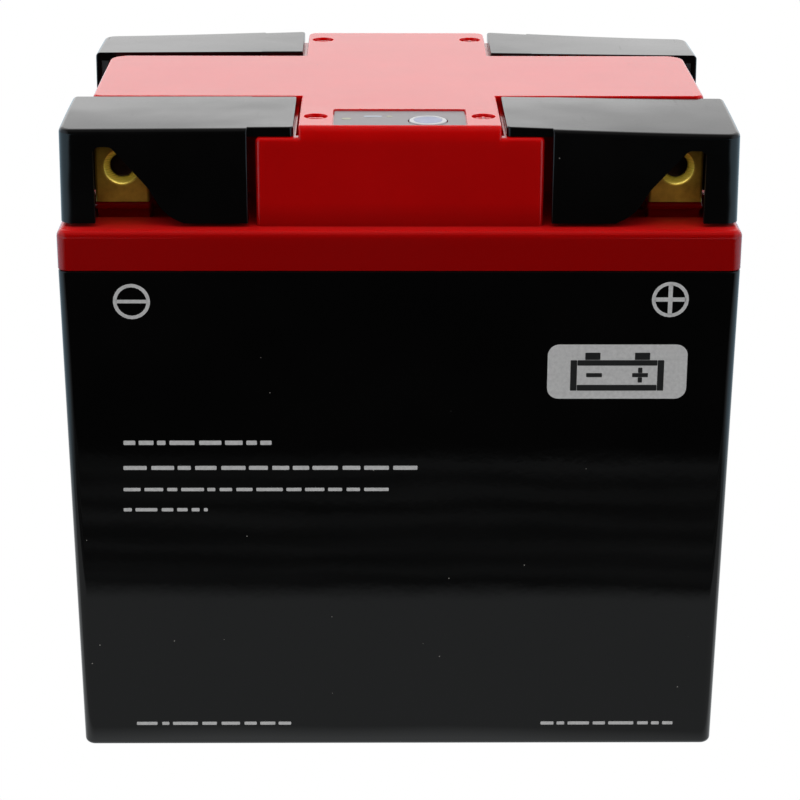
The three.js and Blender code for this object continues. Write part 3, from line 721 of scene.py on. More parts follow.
# the lid's front and back walls get a painted shade near the ledge of the band
RED_LID = gloss_plastic(
    "gloss_red_lid", (0.6, 0.002, 0.002, 1), (0.55, 0.0016, 0.0016, 1), 0.12, 0.45,
    dust=0.009, wave=0.2, scratches=0.5, speck_color=(0.05, 0.006, 0.005, 1), speck_size=0.15,
    dull_and_shade_below=(BAND_TOP + 0.2) * MM, depth=0.004)
COVER_INSIDE = soft_solid(
    "black_cover_inside", shade(0.003), shade(0.005), 300, 0.6, 2200, 0.1)
BRASS = machined_brass("machined_brass", (0.5, 0.3, 0.035, 1), (0.32, 0.18, 0.02, 1), 0.8, 0.4)
# cut brass on the bolt hole's chamfer, brighter and less metallic than the body: partly cut metal, partly
# a painted highlight
CUT_BRASS_HIGHLIGHT = machined_brass("cut_brass_with_painted_highlight", (1.0, 0.78, 0.1, 1), (0.95, 0.68, 0.07, 1), 0.25, 0.28)
# painted shade: near-black brass for the faces inside the bore, the top hole and the nut slot
BORE_PAINTED_SHADE = machined_brass("bore_brass_painted_shade", (0.07, 0.03, 0.015, 1), (0.03, 0.013, 0.01, 1), 0.9, 0.35)
COPPER = plated_metal("rolled_copper", (0.75, 0.36, 0.2, 1), 0.3)
NICKEL = plated_metal("nickel_strip", (0.66, 0.64, 0.6, 1), 0.3)
STEEL = plated_metal("zinc_plated_steel", (0.6, 0.61, 0.63, 1), 0.32, (2000, 2000, 150))
RUBBER = soft_solid("black_rubber", shade(0.012), shade(0.02), 300, 0.7, 2500, 0.15)
HOLDER = soft_solid(
    "cell_holder", (0.02, 0.022, 0.026, 1), (0.03, 0.032, 0.036, 1), 120, 0.5, 1800, 0.12)
SLEEVE = gloss_plastic("cell_sleeve", (0.02, 0.14, 0.07, 1), (0.015, 0.11, 0.055, 1), 0.28, 0.45)
CHIP = soft_solid("chip_plastic", (0.012, 0.012, 0.013, 1), (0.02, 0.02, 0.021, 1), 500, 0.5, 3500, 0.1)
RED_WIRE = soft_solid("red_silicone", (0.5, 0.015, 0.012, 1), (0.4, 0.01, 0.01, 1), 200, 0.45, 1500, 0.1)
BLACK_WIRE = soft_solid("black_silicone", shade(0.01), shade(0.018), 200, 0.45, 1500, 0.1)
WHITE_WIRE = soft_solid("white_nylon", (0.72, 0.72, 0.7, 1), (0.62, 0.62, 0.6, 1), 200, 0.45, 1500, 0.1)
FOAM = cell_foam("packing_foam")
BOARD = circuit_board("circuit_board")
LABEL = label_film("label_film")
LENS = clear_lens("status_lens")
BUTTON = soft_solid("button_blue", (0.25, 0.28, 0.42, 1), (0.3, 0.32, 0.45, 1), 260, 0.35, 1800, 0.06)
BUTTON_RING = soft_solid(
    "button_ring_white", (0.6, 0.61, 0.63, 1), (0.52, 0.53, 0.55, 1), 260, 0.4, 1800, 0.06)
PRINT = printed_ink("grey_print", shade(0.74), shade(0.62))
PALE_YELLOW = printed_ink("pale_yellow_print", (0.42, 0.43, 0.32, 1), (0.38, 0.38, 0.3, 1))
PALE_BLUE = printed_ink("pale_blue_print", (0.42, 0.46, 0.52, 1), (0.38, 0.41, 0.46, 1))
PRINT_DARK = printed_ink("dark_print", shade(0.012), shade(0.02))


# ------------------------------------------------------------------ case
def case_ring(z, inset):
    """One level of the case wall, which leans in towards the base."""
    slope = CASE_DRAFT * (CASE_TOP - z)
    half_x = CASE_HALF_X - slope
    half_y = CASE_HALF_Y - slope
    return at_height(outline(box_corners(-half_x, half_x, -half_y, half_y, CASE_CORNER), inset, 8), z)


def make_case():
    """Tapered tub with a rounded base edge and rim."""
    rings = [case_ring(BASE_EDGE * (1 - math.cos(turn)), BASE_EDGE * (1 - math.sin(turn)))
             for turn in quarter_turns(6)]
    rings += [case_ring(z, 0) for z in (20, 50, 80, 110, 130, CASE_TOP - RIM_EDGE)]
    rings += [case_ring(CASE_TOP - 0.12, 0.12), case_ring(CASE_TOP, RIM_EDGE)]
    case = to_object("case_shell", loft(rings))
    cut(case, loft([case_ring(z, CASE_WALL) for z in (CASE_FLOOR, CASE_TOP + 1)]))
    finish_piece(case, "battery", BLACK_CASE, "case_body", slot="case_plastic", angle=50)


def front_face_y(z):
    """The case front leans in towards the base."""
    return -CASE_HALF_Y + CASE_DRAFT * (CASE_TOP - z)


# ------------------------------------------------------------------ lid
GROOVE_LEVELS = ((0.1, SHOULDER_TOP - 1.8), (0.85, SHOULDER_TOP), (0.85, SHOULDER_TOP + 2.0))


def add_blocks(lid):
    """The cross-shaped top: middle block, arms, and the lower shoulders that the tongues lie on."""
    low = DECK_UNDERSIDE + 0.5
    join(lid, eased_block(
        MIDDLE_BOX, (0.8, 0.8, 2.8, 2.8), low, LID_TOP, ((0.5, 0.5), (0.5, 0.5), (2.3, 4.8), (1.0, 1.0))))
    join(lid, eased_block(
        ARMS_BOX, (2.4, 2.4, 5.5, 5.5), low + 0.02, LID_TOP - 0.01,
        ((1.0, 1.0), (1.0, 1.0), (0.3, 0.3), (0.8, 0.8)), 7, edge_steps=4))
    join(lid, rounded_slab(box_corners(*SHOULDER_BOX, 1.5), low + 0.04, SHOULDER_TOP, 1.2))


def hollow_lid(lid):
    """Hollows the band and the raised blocks, and adds the skirt that enters the case."""
    bay = box_corners(
        -BAND_HALF_X + BAND_WALL, BAND_HALF_X - BAND_WALL,
        -BAND_HALF_Y + BAND_WALL, BAND_HALF_Y - BAND_WALL, 1.0)
    cut(lid, plain_slab(bay, BAND_BOTTOM - 1, DECK_UNDERSIDE))
    for box, top in ((MIDDLE_BOX, LID_TOP), (ARMS_BOX, LID_TOP), (SHOULDER_BOX, SHOULDER_TOP)):
        cut(lid, plain_slab(box_corners(*box, 2.6), BAND_BOTTOM, top - LID_ROOF, LID_WALL))
    join(lid, plain_slab(bay, SKIRT_BOTTOM, BAND_BOTTOM + 1, -SKIRT_WALL))
    cut(lid, plain_slab(bay, SKIRT_BOTTOM - 1, BAND_BOTTOM + 2))


def add_terminal_rest(lid, side, y, near, far):
    """The well round one terminal, and in it the rest that the terminal stands on."""
    x = side * TERMINAL_X
    stem_x, stem_y = PLINTH_HALF - 0.4, PLINTH_HALF - 2.0
    join(lid, cuboid(side * (BAND_HALF_X - BAND_WALL + 1), side * (WELL_INNER_X - 2),
                     near - 2, far + 2, TRAY_BOTTOM, DECK_UNDERSIDE + 1))
    xs = sorted((side * WELL_OUTER_X, side * WELL_INNER_X))
    cut(lid, plain_slab(box_corners(*xs, near, far, 1.5), WELL_FLOOR, BAND_TOP + 1))
    stem = box_corners(x - stem_x, x + stem_x, y - stem_y, y + stem_y, 0.6)
    join(lid, plain_slab(stem, WELL_FLOOR - 1, PLINTH_TOP - 1.0))
    plinth = box_corners(x - PLINTH_HALF, x + PLINTH_HALF, y - PLINTH_HALF, y + PLINTH_HALF, 0.8)
    join(lid, rounded_slab(
        plinth, PLINTH_TOP - PLINTH_LIP, PLINTH_TOP, 0.7, 0.4, steps=4, edge_steps=3))
    cut(lid, drill(STUD_RADIUS + STUD_GAP, TRAY_BOTTOM - 1, PLINTH_TOP + 1, x, y),
        drill(SEAL_RADIUS, PLINTH_TOP - 1, PLINTH_TOP + 1, x, y))


def tongue_groove(side):
    """A wedge-shaped groove in the middle block, beside the ends of the tongues."""
    inner = side * (CENTRE_HALF - 0.05)
    rings = []
    for width, z in GROOVE_LEVELS:
        xs = sorted((inner, inner + side * width))
        corners = box_corners(*xs, LID_FRONT + 3, ARM_FRONT + 0.05, 0.01)
        rings.append(at_height(outline(corners, 0, 2), z))
    return loft(rings)


def make_lid():
    """One red moulding: band, deck, raised cross, wells for the terminals, and pressed-in signs."""
    side_edge, front_edge = (2.4, 2.2), (1.9, 2.4)
    lid = to_object("lid_shell", eased_block(
        (-BAND_HALF_X, BAND_HALF_X, -BAND_HALF_Y, BAND_HALF_Y), (BAND_CORNER,) * 4,
        BAND_BOTTOM, BAND_TOP, (side_edge, side_edge, front_edge, front_edge), 8))
    add_blocks(lid)
    hollow_lid(lid)
    for y, near, far in WELLS.values():
        for _, side in SIDES:
            add_terminal_rest(lid, side, y, near, far)

    tools = [plain_slab(box_corners(*LABEL_ROOM, 0.7), LID_TOP - LABEL_RECESS, LID_TOP + 1),
             drill(BUTTON_RADIUS + BUTTON_GAP, LID_TOP - 6, LID_TOP, BUTTON_X, BUTTON_Y)]
    tools += [drill(LED_RADIUS + LED_GAP, LID_TOP - 6, LID_TOP, x, LED_Y, 24) for x in LED_XS]
    for _, side in SIDES:
        tools.append(tongue_groove(side))
        tools += [drill(MARK_RADIUS, LID_TOP - MARK_DEPTH, LID_TOP + 1, side * MARK_X, y)
                  for y in MARK_YS]
        tools += [drill(PEG_HOLE, SHOULDER_TOP - LID_ROOF - 1, SHOULDER_TOP + 1,
                        side * (COVER_HALF_X - PEG_INSET), y, 24) for y in peg_rows()]
    cut(lid, *tools)
    for _, side in SIDES:
        for y in MARK_YS:
            join(lid, *polarity_sign(side * MARK_X, y, side > 0))
    soften(lid, 0.2, 2, 40)
    finish_piece(lid, "battery", RED_LID, "lid", slot="lid_plastic", angle=48)


def polarity_sign(x, y, positive):
    """A raised minus or plus on the floor of its round recess."""
    half, stroke = SIGN_HALF, SIGN_STROKE
    low = LID_TOP - MARK_DEPTH - 0.2
    bars = [cuboid(x - half, x + half, y - stroke, y + stroke, low, SIGN_TOP)]
    if positive:
        bars.append(cuboid(x - stroke, x + stroke, y - half, y + half, low, SIGN_TOP))
    return bars


def peg_rows():
    """Y of every row of pegs."""
    rows = []
    for end, sign in (("front", -1), ("back", 1)):
        for share in PEG_SHARES[end]:
            rows.append(sign * (COVER_FACES[end] - COVER_DEPTHS[end] * share))
    return rows


# ------------------------------------------------------------------ terminal covers
def window_corners():
    """The cable window in the outer wall, drawn in X (from the outer side) and Z."""
    low = COVER_BOTTOM - 1
    return [
        (POST_WIDTH, low, 0.05), (35.5, low, 0.05), (28.2, 161.2, 12.0), (24.2, 168.4, 9.0),
        (14.1, WINDOW_TOP, 2.0), (POST_WIDTH, WINDOW_TOP, 2.0),
    ]


def cover_at(place, end, side):
    """Moves a point drawn for the front left corner to one of the four corners."""
    x, y, z = place
    x, y = x - COVER_HALF_X, y - COVER_FACES[end]
    return (-x if side > 0 else x, -y if end == "back" else y, z)


def is_inner(face, depth, roof):
    """Whether a face of a cover, as drawn for the front left corner, is one of its inside."""
    x, y, z = face.center
    in_wall = y <= COVER_WALL - 0.2 and face.normal.x <= 0.9
    return (COVER_WALL - 0.2 < x < COVER_LENGTH - 0.2 and 0.3 < y < depth - 0.4
            and COVER_BOTTOM + 0.3 < z < roof + 0.2 and not in_wall)


def make_cover(end, side_name, side, lifts):
    """One cover: a box open below and inwards, with a cable window, a tongue and two pegs."""
    depth = COVER_DEPTHS[end]
    cover = to_object(f"cover_{end}_{side_name}", eased_block(
        (0, COVER_LENGTH, 0, depth), (3.8, 0.5, 0.3, 0.5), COVER_BOTTOM, COVER_TOP,
        ((1.3, 1.3), (0.1, 0.1), (1.3, 1.3), (0.1, 0.1)), 8, (COVER_DRAFT, 0, COVER_DRAFT, 0)))

    roof = COVER_TOP - COVER_ROOF
    room = box_corners(COVER_WALL, COVER_LENGTH + 5, COVER_WALL, depth + 5, (2.0, 0.3, 0.3, 0.3))
    hollow = loft([at_height(outline(room, -COVER_DRAFT * (COVER_TOP - z)), z)
                   for z in (COVER_BOTTOM - 1, roof)])
    cut(cover, hollow, pushed_outline(window_corners(), -2, COVER_WALL + 1.5, 8))
    if end == "front":
        join(cover, cuboid(*RIB_X, depth - RIB_DEPTH[0], depth - RIB_DEPTH[1], COVER_BOTTOM, roof + 0.5))
    tongue = box_corners(COVER_LENGTH - 6, TONGUE_LENGTH, TONGUE_SETBACK, depth, (0.3, 1.2, 0.6, 0.3))
    join(cover, rounded_slab(tongue, roof, COVER_TOP, 0.45, steps=4, edge_steps=4))
    soften(cover, 0.09, 2, 40)
    bend_cover(cover, depth, lifts, COVER_CROWNS[end], COVER_SHEARS[end, side_name])
    for share in PEG_SHARES[end]:
        profile = [(PEG_RADIUS - 0.4, roof - PEG_LENGTH), (PEG_RADIUS, roof - PEG_LENGTH + 0.6),
                   (PEG_RADIUS, roof + 0.9)]
        join(cover, round_bar(profile, (PEG_INSET, depth * share, 0), segments=24))
    inner_faces = [is_inner(face, depth, roof) for face in cover.data.polygons]
    for vertex in cover.data.vertices:
        vertex.co = cover_at(vertex.co, end, side)
    if (side > 0) != (end == "back"):
        cover.data.flip_normals()
    finish_piece(cover, f"cover_{end}_{side_name}", BLACK_COVER,
                 f"terminal_cover_{end}_{side_name}", slot="cover_plastic", angle=48)
    cover.data.materials.append(COVER_INSIDE)
    for face, inside in zip(cover.data.polygons, inner_faces):
        face.material_index = 1 if inside else 0


def bend_cover(cover, depth, lifts, crown, shear):
    """Warps a cover as a moulding that cooled unevenly, and seats it slightly askew.

    lifts: how far the top moves up at the outer wall near its two ends and at its two far
    corners, in the order outer near, inner near, inner far, outer far. crown: bulge of the top
    across its depth. shear: how far the inner end stands outwards of the outer end.
    """
    bm = bmesh.new()
    bm.from_mesh(cover.data)
    for axis, length, cuts in ((0, TONGUE_LENGTH, 10), (1, depth, 6)):
        normal = (1, 0, 0) if axis == 0 else (0, 1, 0)
        for step in range(1, cuts):
            everything = bm.verts[:] + bm.edges[:] + bm.faces[:]
            place = tuple(part * length * step / cuts for part in normal)
            bmesh.ops.bisect_plane(bm, geom=everything, plane_co=place, plane_no=normal)
    outer_near, inner_near, inner_far, outer_far = lifts
    for vertex in bm.verts:
        along = min(max(vertex.co.x / TONGUE_LENGTH, 0), 1)
        across = min(max(vertex.co.y / depth, 0), 1)
        inner = along ** 1.5
        near = outer_near + (inner_near - outer_near) * inner
        far = outer_far + (inner_far - outer_far) * inner
        share = max(0, (vertex.co.z - COVER_BOTTOM) / (COVER_TOP - COVER_BOTTOM))
        bulge = -crown * (1 - 0.75 * along) * (across - CROWN_LINE) ** 2
        in_roof = vertex.co.z > COVER_TOP - COVER_ROOF - 0.3
        over_shoulder = in_roof and vertex.co.x > COVER_LENGTH - 11
        vertex.co.z += (near + (far - near) * across + bulge) * share
        vertex.co.y -= shear * along
        if over_shoulder:
            vertex.co.z = max(vertex.co.z, SHOULDER_TOP + TONGUE_CLEARANCE)
    bm.to_mesh(cover.data)
    bm.free()


# ------------------------------------------------------------------ terminals
def make_terminal(end, side_name, side):
    """A brass block with a bolt hole to the front, one to the top, a nut slot, and a stud below."""
    x = side * TERMINAL_X
    y, outward = (TERMINAL_FRONT_Y, -1) if end == "front" else (TERMINAL_BACK_Y, 1)
    half = TERMINAL_HALF
    body = box_corners(x - half, x + half, y - half, y + half, 0.9)
    terminal = to_object(f"brass_terminal_{end}_{side_name}", rounded_slab(
        body, TERMINAL_FOOT, TERMINAL_TOP, 0.7, 0.15, steps=4, edge_steps=3))
    inward = -side
    cut(terminal, cuboid(x - inward * NUT_SLOT_BACK, x + inward * (half + 1),
                         y - NUT_SLOT_HALF, y + NUT_SLOT_HALF, *NUT_SLOT_HEIGHTS))
    flare = BOLT_HOLE_RIM - BOLT_HOLE
    bore = [(BOLT_HOLE, -4)]
    for turn in quarter_turns(6):
        bore.append((BOLT_HOLE + flare * (1 - math.cos(turn)), half - flare * (1 - math.sin(turn))))
    bore.append((BOLT_HOLE_RIM, half + 1))
    tool = round_bar(bore, segments=64)
    tool.transform(Matrix.Rotation(math.radians(90 if outward < 0 else -90), 4, "X"))
    tool.transform(Matrix.Translation((x, y, BOLT_HOLE_Z)))
    cut(terminal, tool)
    cut(terminal, round_bar([(BOLT_HOLE, BOLT_HOLE_Z), (BOLT_HOLE, TERMINAL_TOP - 1.5),
                             (BOLT_HOLE + 1.6, TERMINAL_TOP + 0.1)], (x, y, 0), segments=48))
    join(terminal, round_bar([(STUD_RADIUS - 0.8, STUD_END), (STUD_RADIUS, STUD_END + 0.8),
                              (STUD_RADIUS, TERMINAL_FOOT + 1)], (x, y, 0), segments=40))
    soften(terminal, 0.12, 2, 38)
    finish_piece(terminal, "battery", BRASS, f"terminal_{end}_{side_name}",
                 slot="terminal_brass", angle=40)
    terminal.data.materials.append(CUT_BRASS_HIGHLIGHT)
    terminal.data.materials.append(BORE_PAINTED_SHADE)
    # faces of the bolt hole's chamfer get the painted highlight, faces inside the block the painted shade
    for face in terminal.data.polygons:
        place = face.center / MM
        radius = math.hypot(place.x - x, place.z - BOLT_HOLE_Z)
        depth = half - (place.y - y) * outward
        inside = abs(place.x - x) < half - 0.4 and depth > 0.4 and place.z > TERMINAL_FOOT + 0.4
        if radius < BOLT_HOLE_RIM + 0.3 and depth < flare and abs(face.normal.y) < 0.99:
            face.material_index = 1
        elif inside and place.z < TERMINAL_TOP - 0.4:
            face.material_index = 2
    return terminal


# ------------------------------------------------------------------ label and button
def make_label():
    """Printed film in the lid's recess, with an opening for the button and three printed marks."""
    bottom, top = LABEL_LOW[2], LABEL_HIGH[2]
    film = box_corners(LABEL_LOW[0], LABEL_HIGH[0], LABEL_LOW[1], LABEL_HIGH[1], 0.8)
    label = to_object("label_film_plate", rounded_slab(film, bottom, top, 0.08, steps=4, edge_steps=2))
    cut(label, drill(BUTTON_RADIUS + BUTTON_GAP, bottom - 1, top + 1, BUTTON_X, BUTTON_Y, 64))
    finish_piece(label, "battery", LABEL, "status_label", slot="label_film")
    for name, corners, ink in (
            ("label_mark_round", box_corners(-15.9, -13.3, -52.2, -50.2, 0.95), PALE_YELLOW),
            ("label_mark_bar", box_corners(-9.9, -4.8, -49.4, -47.6, 0.6), PALE_BLUE),
            ("label_mark_dot", box_corners(-3.6, -2.0, -49.2, -47.8, 0.65), PALE_YELLOW)):
        mark = to_object(name, rounded_slab(corners, top + 0.01, top + 0.04, 0.01, edge_steps=2))
        finish_piece(mark, "battery", ink, slot="label_film")


def make_button():
    """Flanged button with a white rim and a shallow blue dish."""
    low = BUTTON_LOW[2]
    top = BUTTON_HIGH[2]
    flange = LID_TOP - LID_ROOF
    stem = round_bar([
        (1.7, low), (2.0, low + 0.3), (2.0, flange - 1.6), (BUTTON_FLANGE, flange - 1.6),
        (BUTTON_FLANGE, flange - 0.3), (BUTTON_RADIUS, flange - 0.3),
        (BUTTON_RADIUS, top - 0.45), (BUTTON_RADIUS - 0.12, top - 0.15), (BUTTON_RADIUS - 0.45, top),
        (BUTTON_RADIUS - 1.1, top), (BUTTON_RADIUS - 1.25, top - 0.12)],
        (BUTTON_X, BUTTON_Y, 0), segments=64)
    button = to_object("button_body", stem)
    finish_piece(button, "button", BUTTON_RING, "test_button", slot="button_plastic", angle=35)
    dish = round_bar([
        (BUTTON_RADIUS - 1.3, top - 0.11), (BUTTON_RADIUS - 1.45, top - 0.05),
        (BUTTON_RADIUS - 2.2, top - 0.08), (1.4, top - 0.14), (0.3, top - 0.15)],
        (BUTTON_X, BUTTON_Y, 0), segments=64)
    centre = to_object("button_centre", dish)
    finish_piece(centre, "button", BUTTON, slot="button_plastic", angle=60)


# ------------------------------------------------------------------ print on the case
POLE_SIGNS = ((-73.6, 137.4, 0.5), (74.4, 138.0, 0.6))
POLE_RING = (5.1, 4.1)
POLE_BAR_HALF = 4.3
BADGE_X = 60.5
BADGE_Z = 116.9
BADGE_HALF_WIDTH = 19.4
BADGE_HALF_HEIGHT = 8.0
BADGE_CORNER = 3.2
BADGE_BARS = (
    (-13.0, -11.2, -5.6, 3.4), (11.2, 13.0, -5.6, 3.4), (-11.1, 11.1, -5.6, -3.9),
    (-11.1, 11.1, 1.8, 3.4), (-9.0, -4.8, 3.5, 5.6), (4.8, 9.0, 3.5, 5.6),
    (-8.6, -4.2, -1.6, -0.4), (4.2, 8.6, -1.6, -0.4), (5.8, 7.0, -0.35, 1.2),
    (5.8, 7.0, -3.2, -1.65))
# Z, height, left and right end of each row of small print
SMALL_PRINT = (
    (95.7, 2.1, -77.3, -33.5), (88.1, 2.0, -77.6, 5.8), (81.5, 1.8, -77.8, -2.6),
    (75.3, 1.8, -78.0, -54.2), (7.2, 1.8, -76.6, -31.4), (7.1, 1.8, 41.8, 80.6))


def ink_patch(shapes, thickness=0.05):
    """Thin patches on the case front. shapes: outlines in X and Z."""
    bm = bmesh.new()
    for corners, steps in shapes:
        points = outline(corners, 0, steps)
        front = [bm.verts.new((x, front_face_y(z) - thickness, z)) for x, z in points]
        back = [bm.verts.new((x, front_face_y(z) + 0.02, z)) for x, z in points]
        bm.faces.new(front)
        bm.faces.new(list(reversed(back)))
        count = len(points)
        for i in range(count):
            j = (i + 1) % count
            bm.faces.new((front[j], front[i], back[i], back[j]))
    return bm


def bar_shape(x0, x1, z0, z1, radius=0.2):
    return (box_corners(x0, x1, z0, z1, radius), 3)


def make_print():
    """Plus and minus in circles, rows of plain dashes for the small print, and a plain badge."""
    shapes = []
    half = POLE_BAR_HALF
    for x, z, stroke in POLE_SIGNS:
        shapes += ring_shapes(x, z, *POLE_RING)
        shapes.append(bar_shape(x - half, x + half, z - stroke, z + stroke, 0.05))
        if x > 0:
            shapes.append(bar_shape(x - stroke, x + stroke, z + stroke + 0.01, z + half, 0.05))
            shapes.append(bar_shape(x - stroke, x + stroke, z - half, z - stroke - 0.01, 0.05))
    signs = to_object("print_signs", ink_patch(shapes))
    finish_piece(signs, "battery", PRINT, slot="label_film")

    dashes = []
    rng = random.Random(4)
    for z, height, left, right in SMALL_PRINT:
        dashes += word_dashes(rng, z, height, left, right)
    text = to_object("print_dashes", ink_patch(dashes, 0.04))
    finish_piece(text, "battery", PRINT, slot="label_film")

    badge = box_corners(
        BADGE_X - BADGE_HALF_WIDTH, BADGE_X + BADGE_HALF_WIDTH,
        BADGE_Z - BADGE_HALF_HEIGHT, BADGE_Z + BADGE_HALF_HEIGHT, BADGE_CORNER)
    panel = to_object("print_badge", ink_patch([(badge, 8)], 0.04))
    finish_piece(panel, "battery", PRINT, slot="label_film")
    sign = to_object("print_badge_sign", ink_patch([
        bar_shape(BADGE_X + x0, BADGE_X + x1, BADGE_Z + z0, BADGE_Z + z1)
        for x0, x1, z0, z1 in BADGE_BARS], 0.07))
    finish_piece(sign, "battery", PRINT_DARK, slot="label_film")


def ring_shapes(x, z, outer, inner, parts=24):
    """A ring made of short closed segments that meet end to end."""
    shapes = []
    for i in range(parts):
        angles = [2 * math.pi * (i + k) / parts for k in (0, 1)]
        corners = [(x + r * math.cos(a), z + r * math.sin(a), 0.01)
                   for r, a in ((inner, angles[0]), (outer, angles[0]),
                                (outer, angles[1]), (inner, angles[1]))]
        shapes.append((corners, 1))
    return shapes


def word_dashes(rng, z, height, left, right):
    """A row of dashes of uneven length, like greeked words."""
    dashes = []
    x = left
    while x < right - 1.0:
        length = min(rng.uniform(2.0, 7.5), right - x)
        dashes.append(bar_shape(x, x + length, z - height / 2 + 0.4, z + height / 2 - 0.4, 0.25))
        x += length + rng.uniform(0.9, 1.4)
    return dashes


# ------------------------------------------------------------------ inner parts
def dress_inner_parts():
    """Gives every CAD node that stays its material and a small bevel."""
    finishes = {
        "terminal_seal": RUBBER, "terminal_nut": STEEL, "negative_link_bar": COPPER,
        "positive_link_bar": COPPER, "negative_lug": NICKEL, "positive_lug": NICKEL,
        "negative_lead": BLACK_WIRE, "positive_lead": RED_WIRE, "negative_tab": NICKEL,
        "positive_tab": NICKEL, "series_link": NICKEL, "cell_holder": HOLDER, "cell_": SLEEVE,
        "balance_board": BOARD, "indicator_board": BOARD, "board_screw": STEEL,
        "indicator_screw": STEEL, "power_transistor": CHIP, "button_switch": CHIP,
        "harness_socket": WHITE_WIRE, "indicator_harness": WHITE_WIRE,
        "balance_harness": WHITE_WIRE, "foam_": FOAM, "status_led": LENS,
    }
    replaced = {"case_body", "lid", "status_label", "test_button"}
    for name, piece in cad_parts.items():
        if name in replaced or name.startswith("terminal_cover"):
            continue
        key = max((k for k in finishes if name.startswith(k)), key=len, default=None)
        if key is None:
            continue
        piece.data.materials.clear()
        piece.data.materials.append(finishes[key])
        bevel = piece.modifiers.new("edges", "BEVEL")
        bevel.width = 0.15 * MM
        bevel.segments = 2
        bevel.limit_method = "ANGLE"
        bevel.angle_limit = math.radians(35)


# ------------------------------------------------------------------ studio
STREAK_PITCH = 0.0234
STREAK_START = 0.2862
STREAK_PHASE = 2 * math.pi * STREAK_START / STREAK_PITCH
POOL_EDGE = (-0.162, -0.149)
DARK_EDGE = (-0.281, -0.274)
CONTACT_EDGE = (-0.061, -0.0535)
FLOOR_HALF = 6.0


def make_floor():
    """A wide pale floor, plain white to the eye.

    Gloss surfaces mirror it as a bright pool near the battery that fades into dark further out,
    with soft streaks in between.
    """
    mesh = bpy.data.meshes.new("floor")
    half = FLOOR_HALF
    mesh.from_pydata([(-half, -half, 0), (half, -half, 0), (half, half, 0), (-half, half, 0)],
                     [], [(0, 1, 2, 3)])
    floor = bpy.data.objects.new("floor", mesh)
    SCENE.collection.objects.link(floor)
    material = bpy.data.materials.new("floor_white")
    material.use_nodes = True
    tree = material.node_tree
    tree.nodes.clear()
    place = object_place(tree)
    turned = stretched(tree, place, (1, 1, 1), (0, 0, math.radians(-1.5)))
    y = axis_of(tree, turned, "Y")
    warp = noise(tree, place, 4, 2)
    y = compute(tree, "MULTIPLY_ADD", warp, 0.024, y)
    near = remap(tree, y, *POOL_EDGE)
    middle = remap(tree, y, *DARK_EDGE)
    contact = remap(tree, y, *CONTACT_EDGE)
    x = compute(tree, "ABSOLUTE", axis_of(tree, place, "X"))
    aside = compute(tree, "MULTIPLY", remap(tree, x, 0.22, 0.36), remap(tree, y, -0.36, -0.14, 0.0, 0.85))
    aside = compute(tree, "MAXIMUM", remap(tree, x, 0.45, 0.6, 0.0, 0.9), aside)
    turns = compute(tree, "MULTIPLY_ADD", y, 2 * math.pi / STREAK_PITCH, STREAK_PHASE)
    wave = compute(tree, "COSINE", turns)
    uneven = noise(tree, stretched(tree, turned, (3.5, 70, 1)), 1.0, 3, 0.6, 0.25)
    streaks = compute(tree, "MULTIPLY_ADD", wave, 0.03, 0.07)
    streaks = compute(tree, "MULTIPLY", streaks, remap(tree, uneven, 0.3, 0.7, 0.55, 1.5))
    radiance = blend(tree, middle, 0.004, streaks)
    radiance = blend(tree, near, radiance, 0.38)
    radiance = blend(tree, contact, radiance, 0.9)
    radiance = compute(tree, "MAXIMUM", radiance, aside)
    rays = add_node(tree, "ShaderNodeLightPath")
    seen = add_node(tree, "ShaderNodeEmission", {"Color": shade(1), "Strength": 1.0}).outputs[0]
    distance = add_node(tree, "ShaderNodeVectorMath", {0: place}, operation="LENGTH").outputs["Value"]
    lit = add_node(tree, "ShaderNodeEmission", {
        "Color": shade(1), "Strength": remap(tree, distance, 0.2, 0.7, 0.42, 0.2)}).outputs[0]
    mirrored = add_node(tree, "ShaderNodeEmission", {
        "Color": mixed(tree, aside, (0.96, 1.0, 1.02, 1), (0.66, 0.98, 1.2, 1)),
        "Strength": radiance}).outputs[0]
    bounced = add_node(tree, "ShaderNodeMixShader", {
        0: rays.outputs["Is Glossy Ray"], 1: lit, 2: mirrored}).outputs[0]
    out = add_node(tree, "ShaderNodeMixShader", {
        0: rays.outputs["Is Camera Ray"], 1: bounced, 2: seen}).outputs[0]
    add_node(tree, "ShaderNodeOutputMaterial", {"Surface": out})
    mesh.materials.append(material)


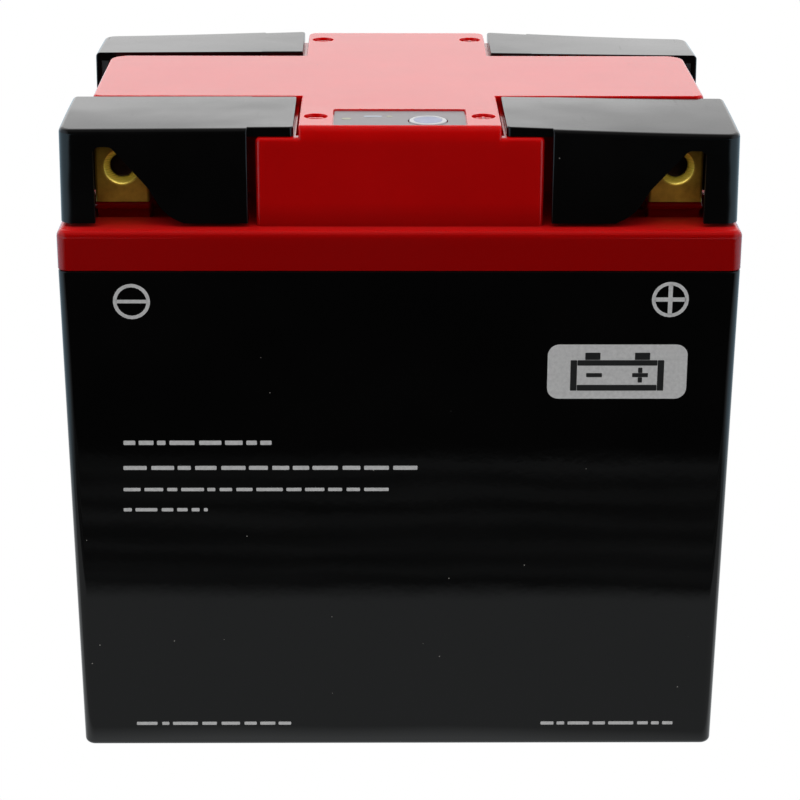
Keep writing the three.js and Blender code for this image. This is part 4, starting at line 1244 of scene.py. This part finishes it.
def make_world():
    """White to the eye, and a soft light, brighter above and behind.

    Gloss surfaces mirror it as bright behind, blue-grey at the sides and dark in front.
    """
    world = bpy.data.worlds.new("studio")
    SCENE.world = world
    world.use_nodes = True
    tree = world.node_tree
    tree.nodes.clear()
    place = add_node(tree, "ShaderNodeTexCoord").outputs["Generated"]
    axes = add_node(tree, "ShaderNodeSeparateXYZ", {"Vector": place})
    behind = remap(tree, axes.outputs["Y"], 0.1, 0.6)
    rise = remap(tree, axes.outputs["Z"], 0.218, 0.228, 1.35, 1.78)
    fall = remap(tree, axes.outputs["Z"], 0.228, 0.31, 1.8, 1.15)
    height = compute(tree, "MINIMUM", rise, fall)
    back = compute(tree, "MULTIPLY", behind, height)
    aside = compute(tree, "ABSOLUTE", axes.outputs["X"])
    sides = remap(tree, aside, 0.45, 0.85, 0.0, 0.75)
    top = remap(tree, axes.outputs["Z"], 0.5, 0.95, 0.0, 0.15)
    light = compute(tree, "MAXIMUM", back, sides)
    light = compute(tree, "ADD", light, top)
    light = compute(tree, "ADD", light, 0.003)
    tint = mixed(tree, sides, shade(1), (0.72, 0.9, 1.08, 1))
    rays = add_node(tree, "ShaderNodeLightPath")
    mirrored = add_node(tree, "ShaderNodeBackground", {"Color": tint, "Strength": light}).outputs[0]
    sky = remap(tree, axes.outputs["Z"], 0, 1, 0.14, 1.05)
    front = remap(tree, axes.outputs["Y"], -0.9, 0.1, 0.45, 1.1)
    sky = compute(tree, "MULTIPLY", sky, front)
    beside = remap(tree, aside, 0.5, 1.0, 0.0, 0.9)
    sky = compute(tree, "ADD", sky, beside)
    soft = add_node(tree, "ShaderNodeBackground", {
        "Color": shade(1), "Strength": sky}).outputs[0]
    studio = add_node(tree, "ShaderNodeMixShader", {
        0: rays.outputs["Is Glossy Ray"], 1: soft, 2: mirrored}).outputs[0]
    white = add_node(tree, "ShaderNodeBackground", {"Color": shade(1), "Strength": 1.0}).outputs[0]
    out = add_node(tree, "ShaderNodeMixShader", {
        0: rays.outputs["Is Camera Ray"], 1: studio, 2: white}).outputs[0]
    add_node(tree, "ShaderNodeOutputWorld", {"Surface": out})


def add_softbox(name, place, aim, size, power, only=None):
    """An area light. only: the pieces that it lights and shows in; without it, no reflection."""
    data = bpy.data.lights.new(name, "AREA")
    data.shape = "RECTANGLE"
    data.size, data.size_y = size
    data.energy = power
    light = bpy.data.objects.new(name, data)
    SCENE.collection.objects.link(light)
    light.location = place
    light.rotation_mode = "QUATERNION"
    light.rotation_quaternion = (Vector(aim) - Vector(place)).to_track_quat("-Z", "Y")
    if only:
        lit = bpy.data.collections.new(name + "_lights")
        for piece in only:
            lit.objects.link(piece)
        light.light_linking.receiver_collection = lit
    else:
        light.visible_glossy = False


make_camera()
make_floor()
make_world()
add_softbox("top_softbox", (0.0, -0.3, 1.05), (0, 0, 0.14), (1.1, 0.7), 3.0)
SCENE.view_settings.view_transform = "Standard"

make_case()
make_lid()
terminals = []
for end in ENDS:
    for side_name, side in SIDES:
        make_cover(end, side_name, side, COVER_LIFTS[end, side_name])
        terminals.append(make_terminal(end, side_name, side))
add_softbox("terminal_light", (0.0, -0.75, 0.42), (0, -0.04, 0.17), (0.5, 0.25), 1.6, terminals)
make_label()
make_button()
make_print()
dress_inner_parts()
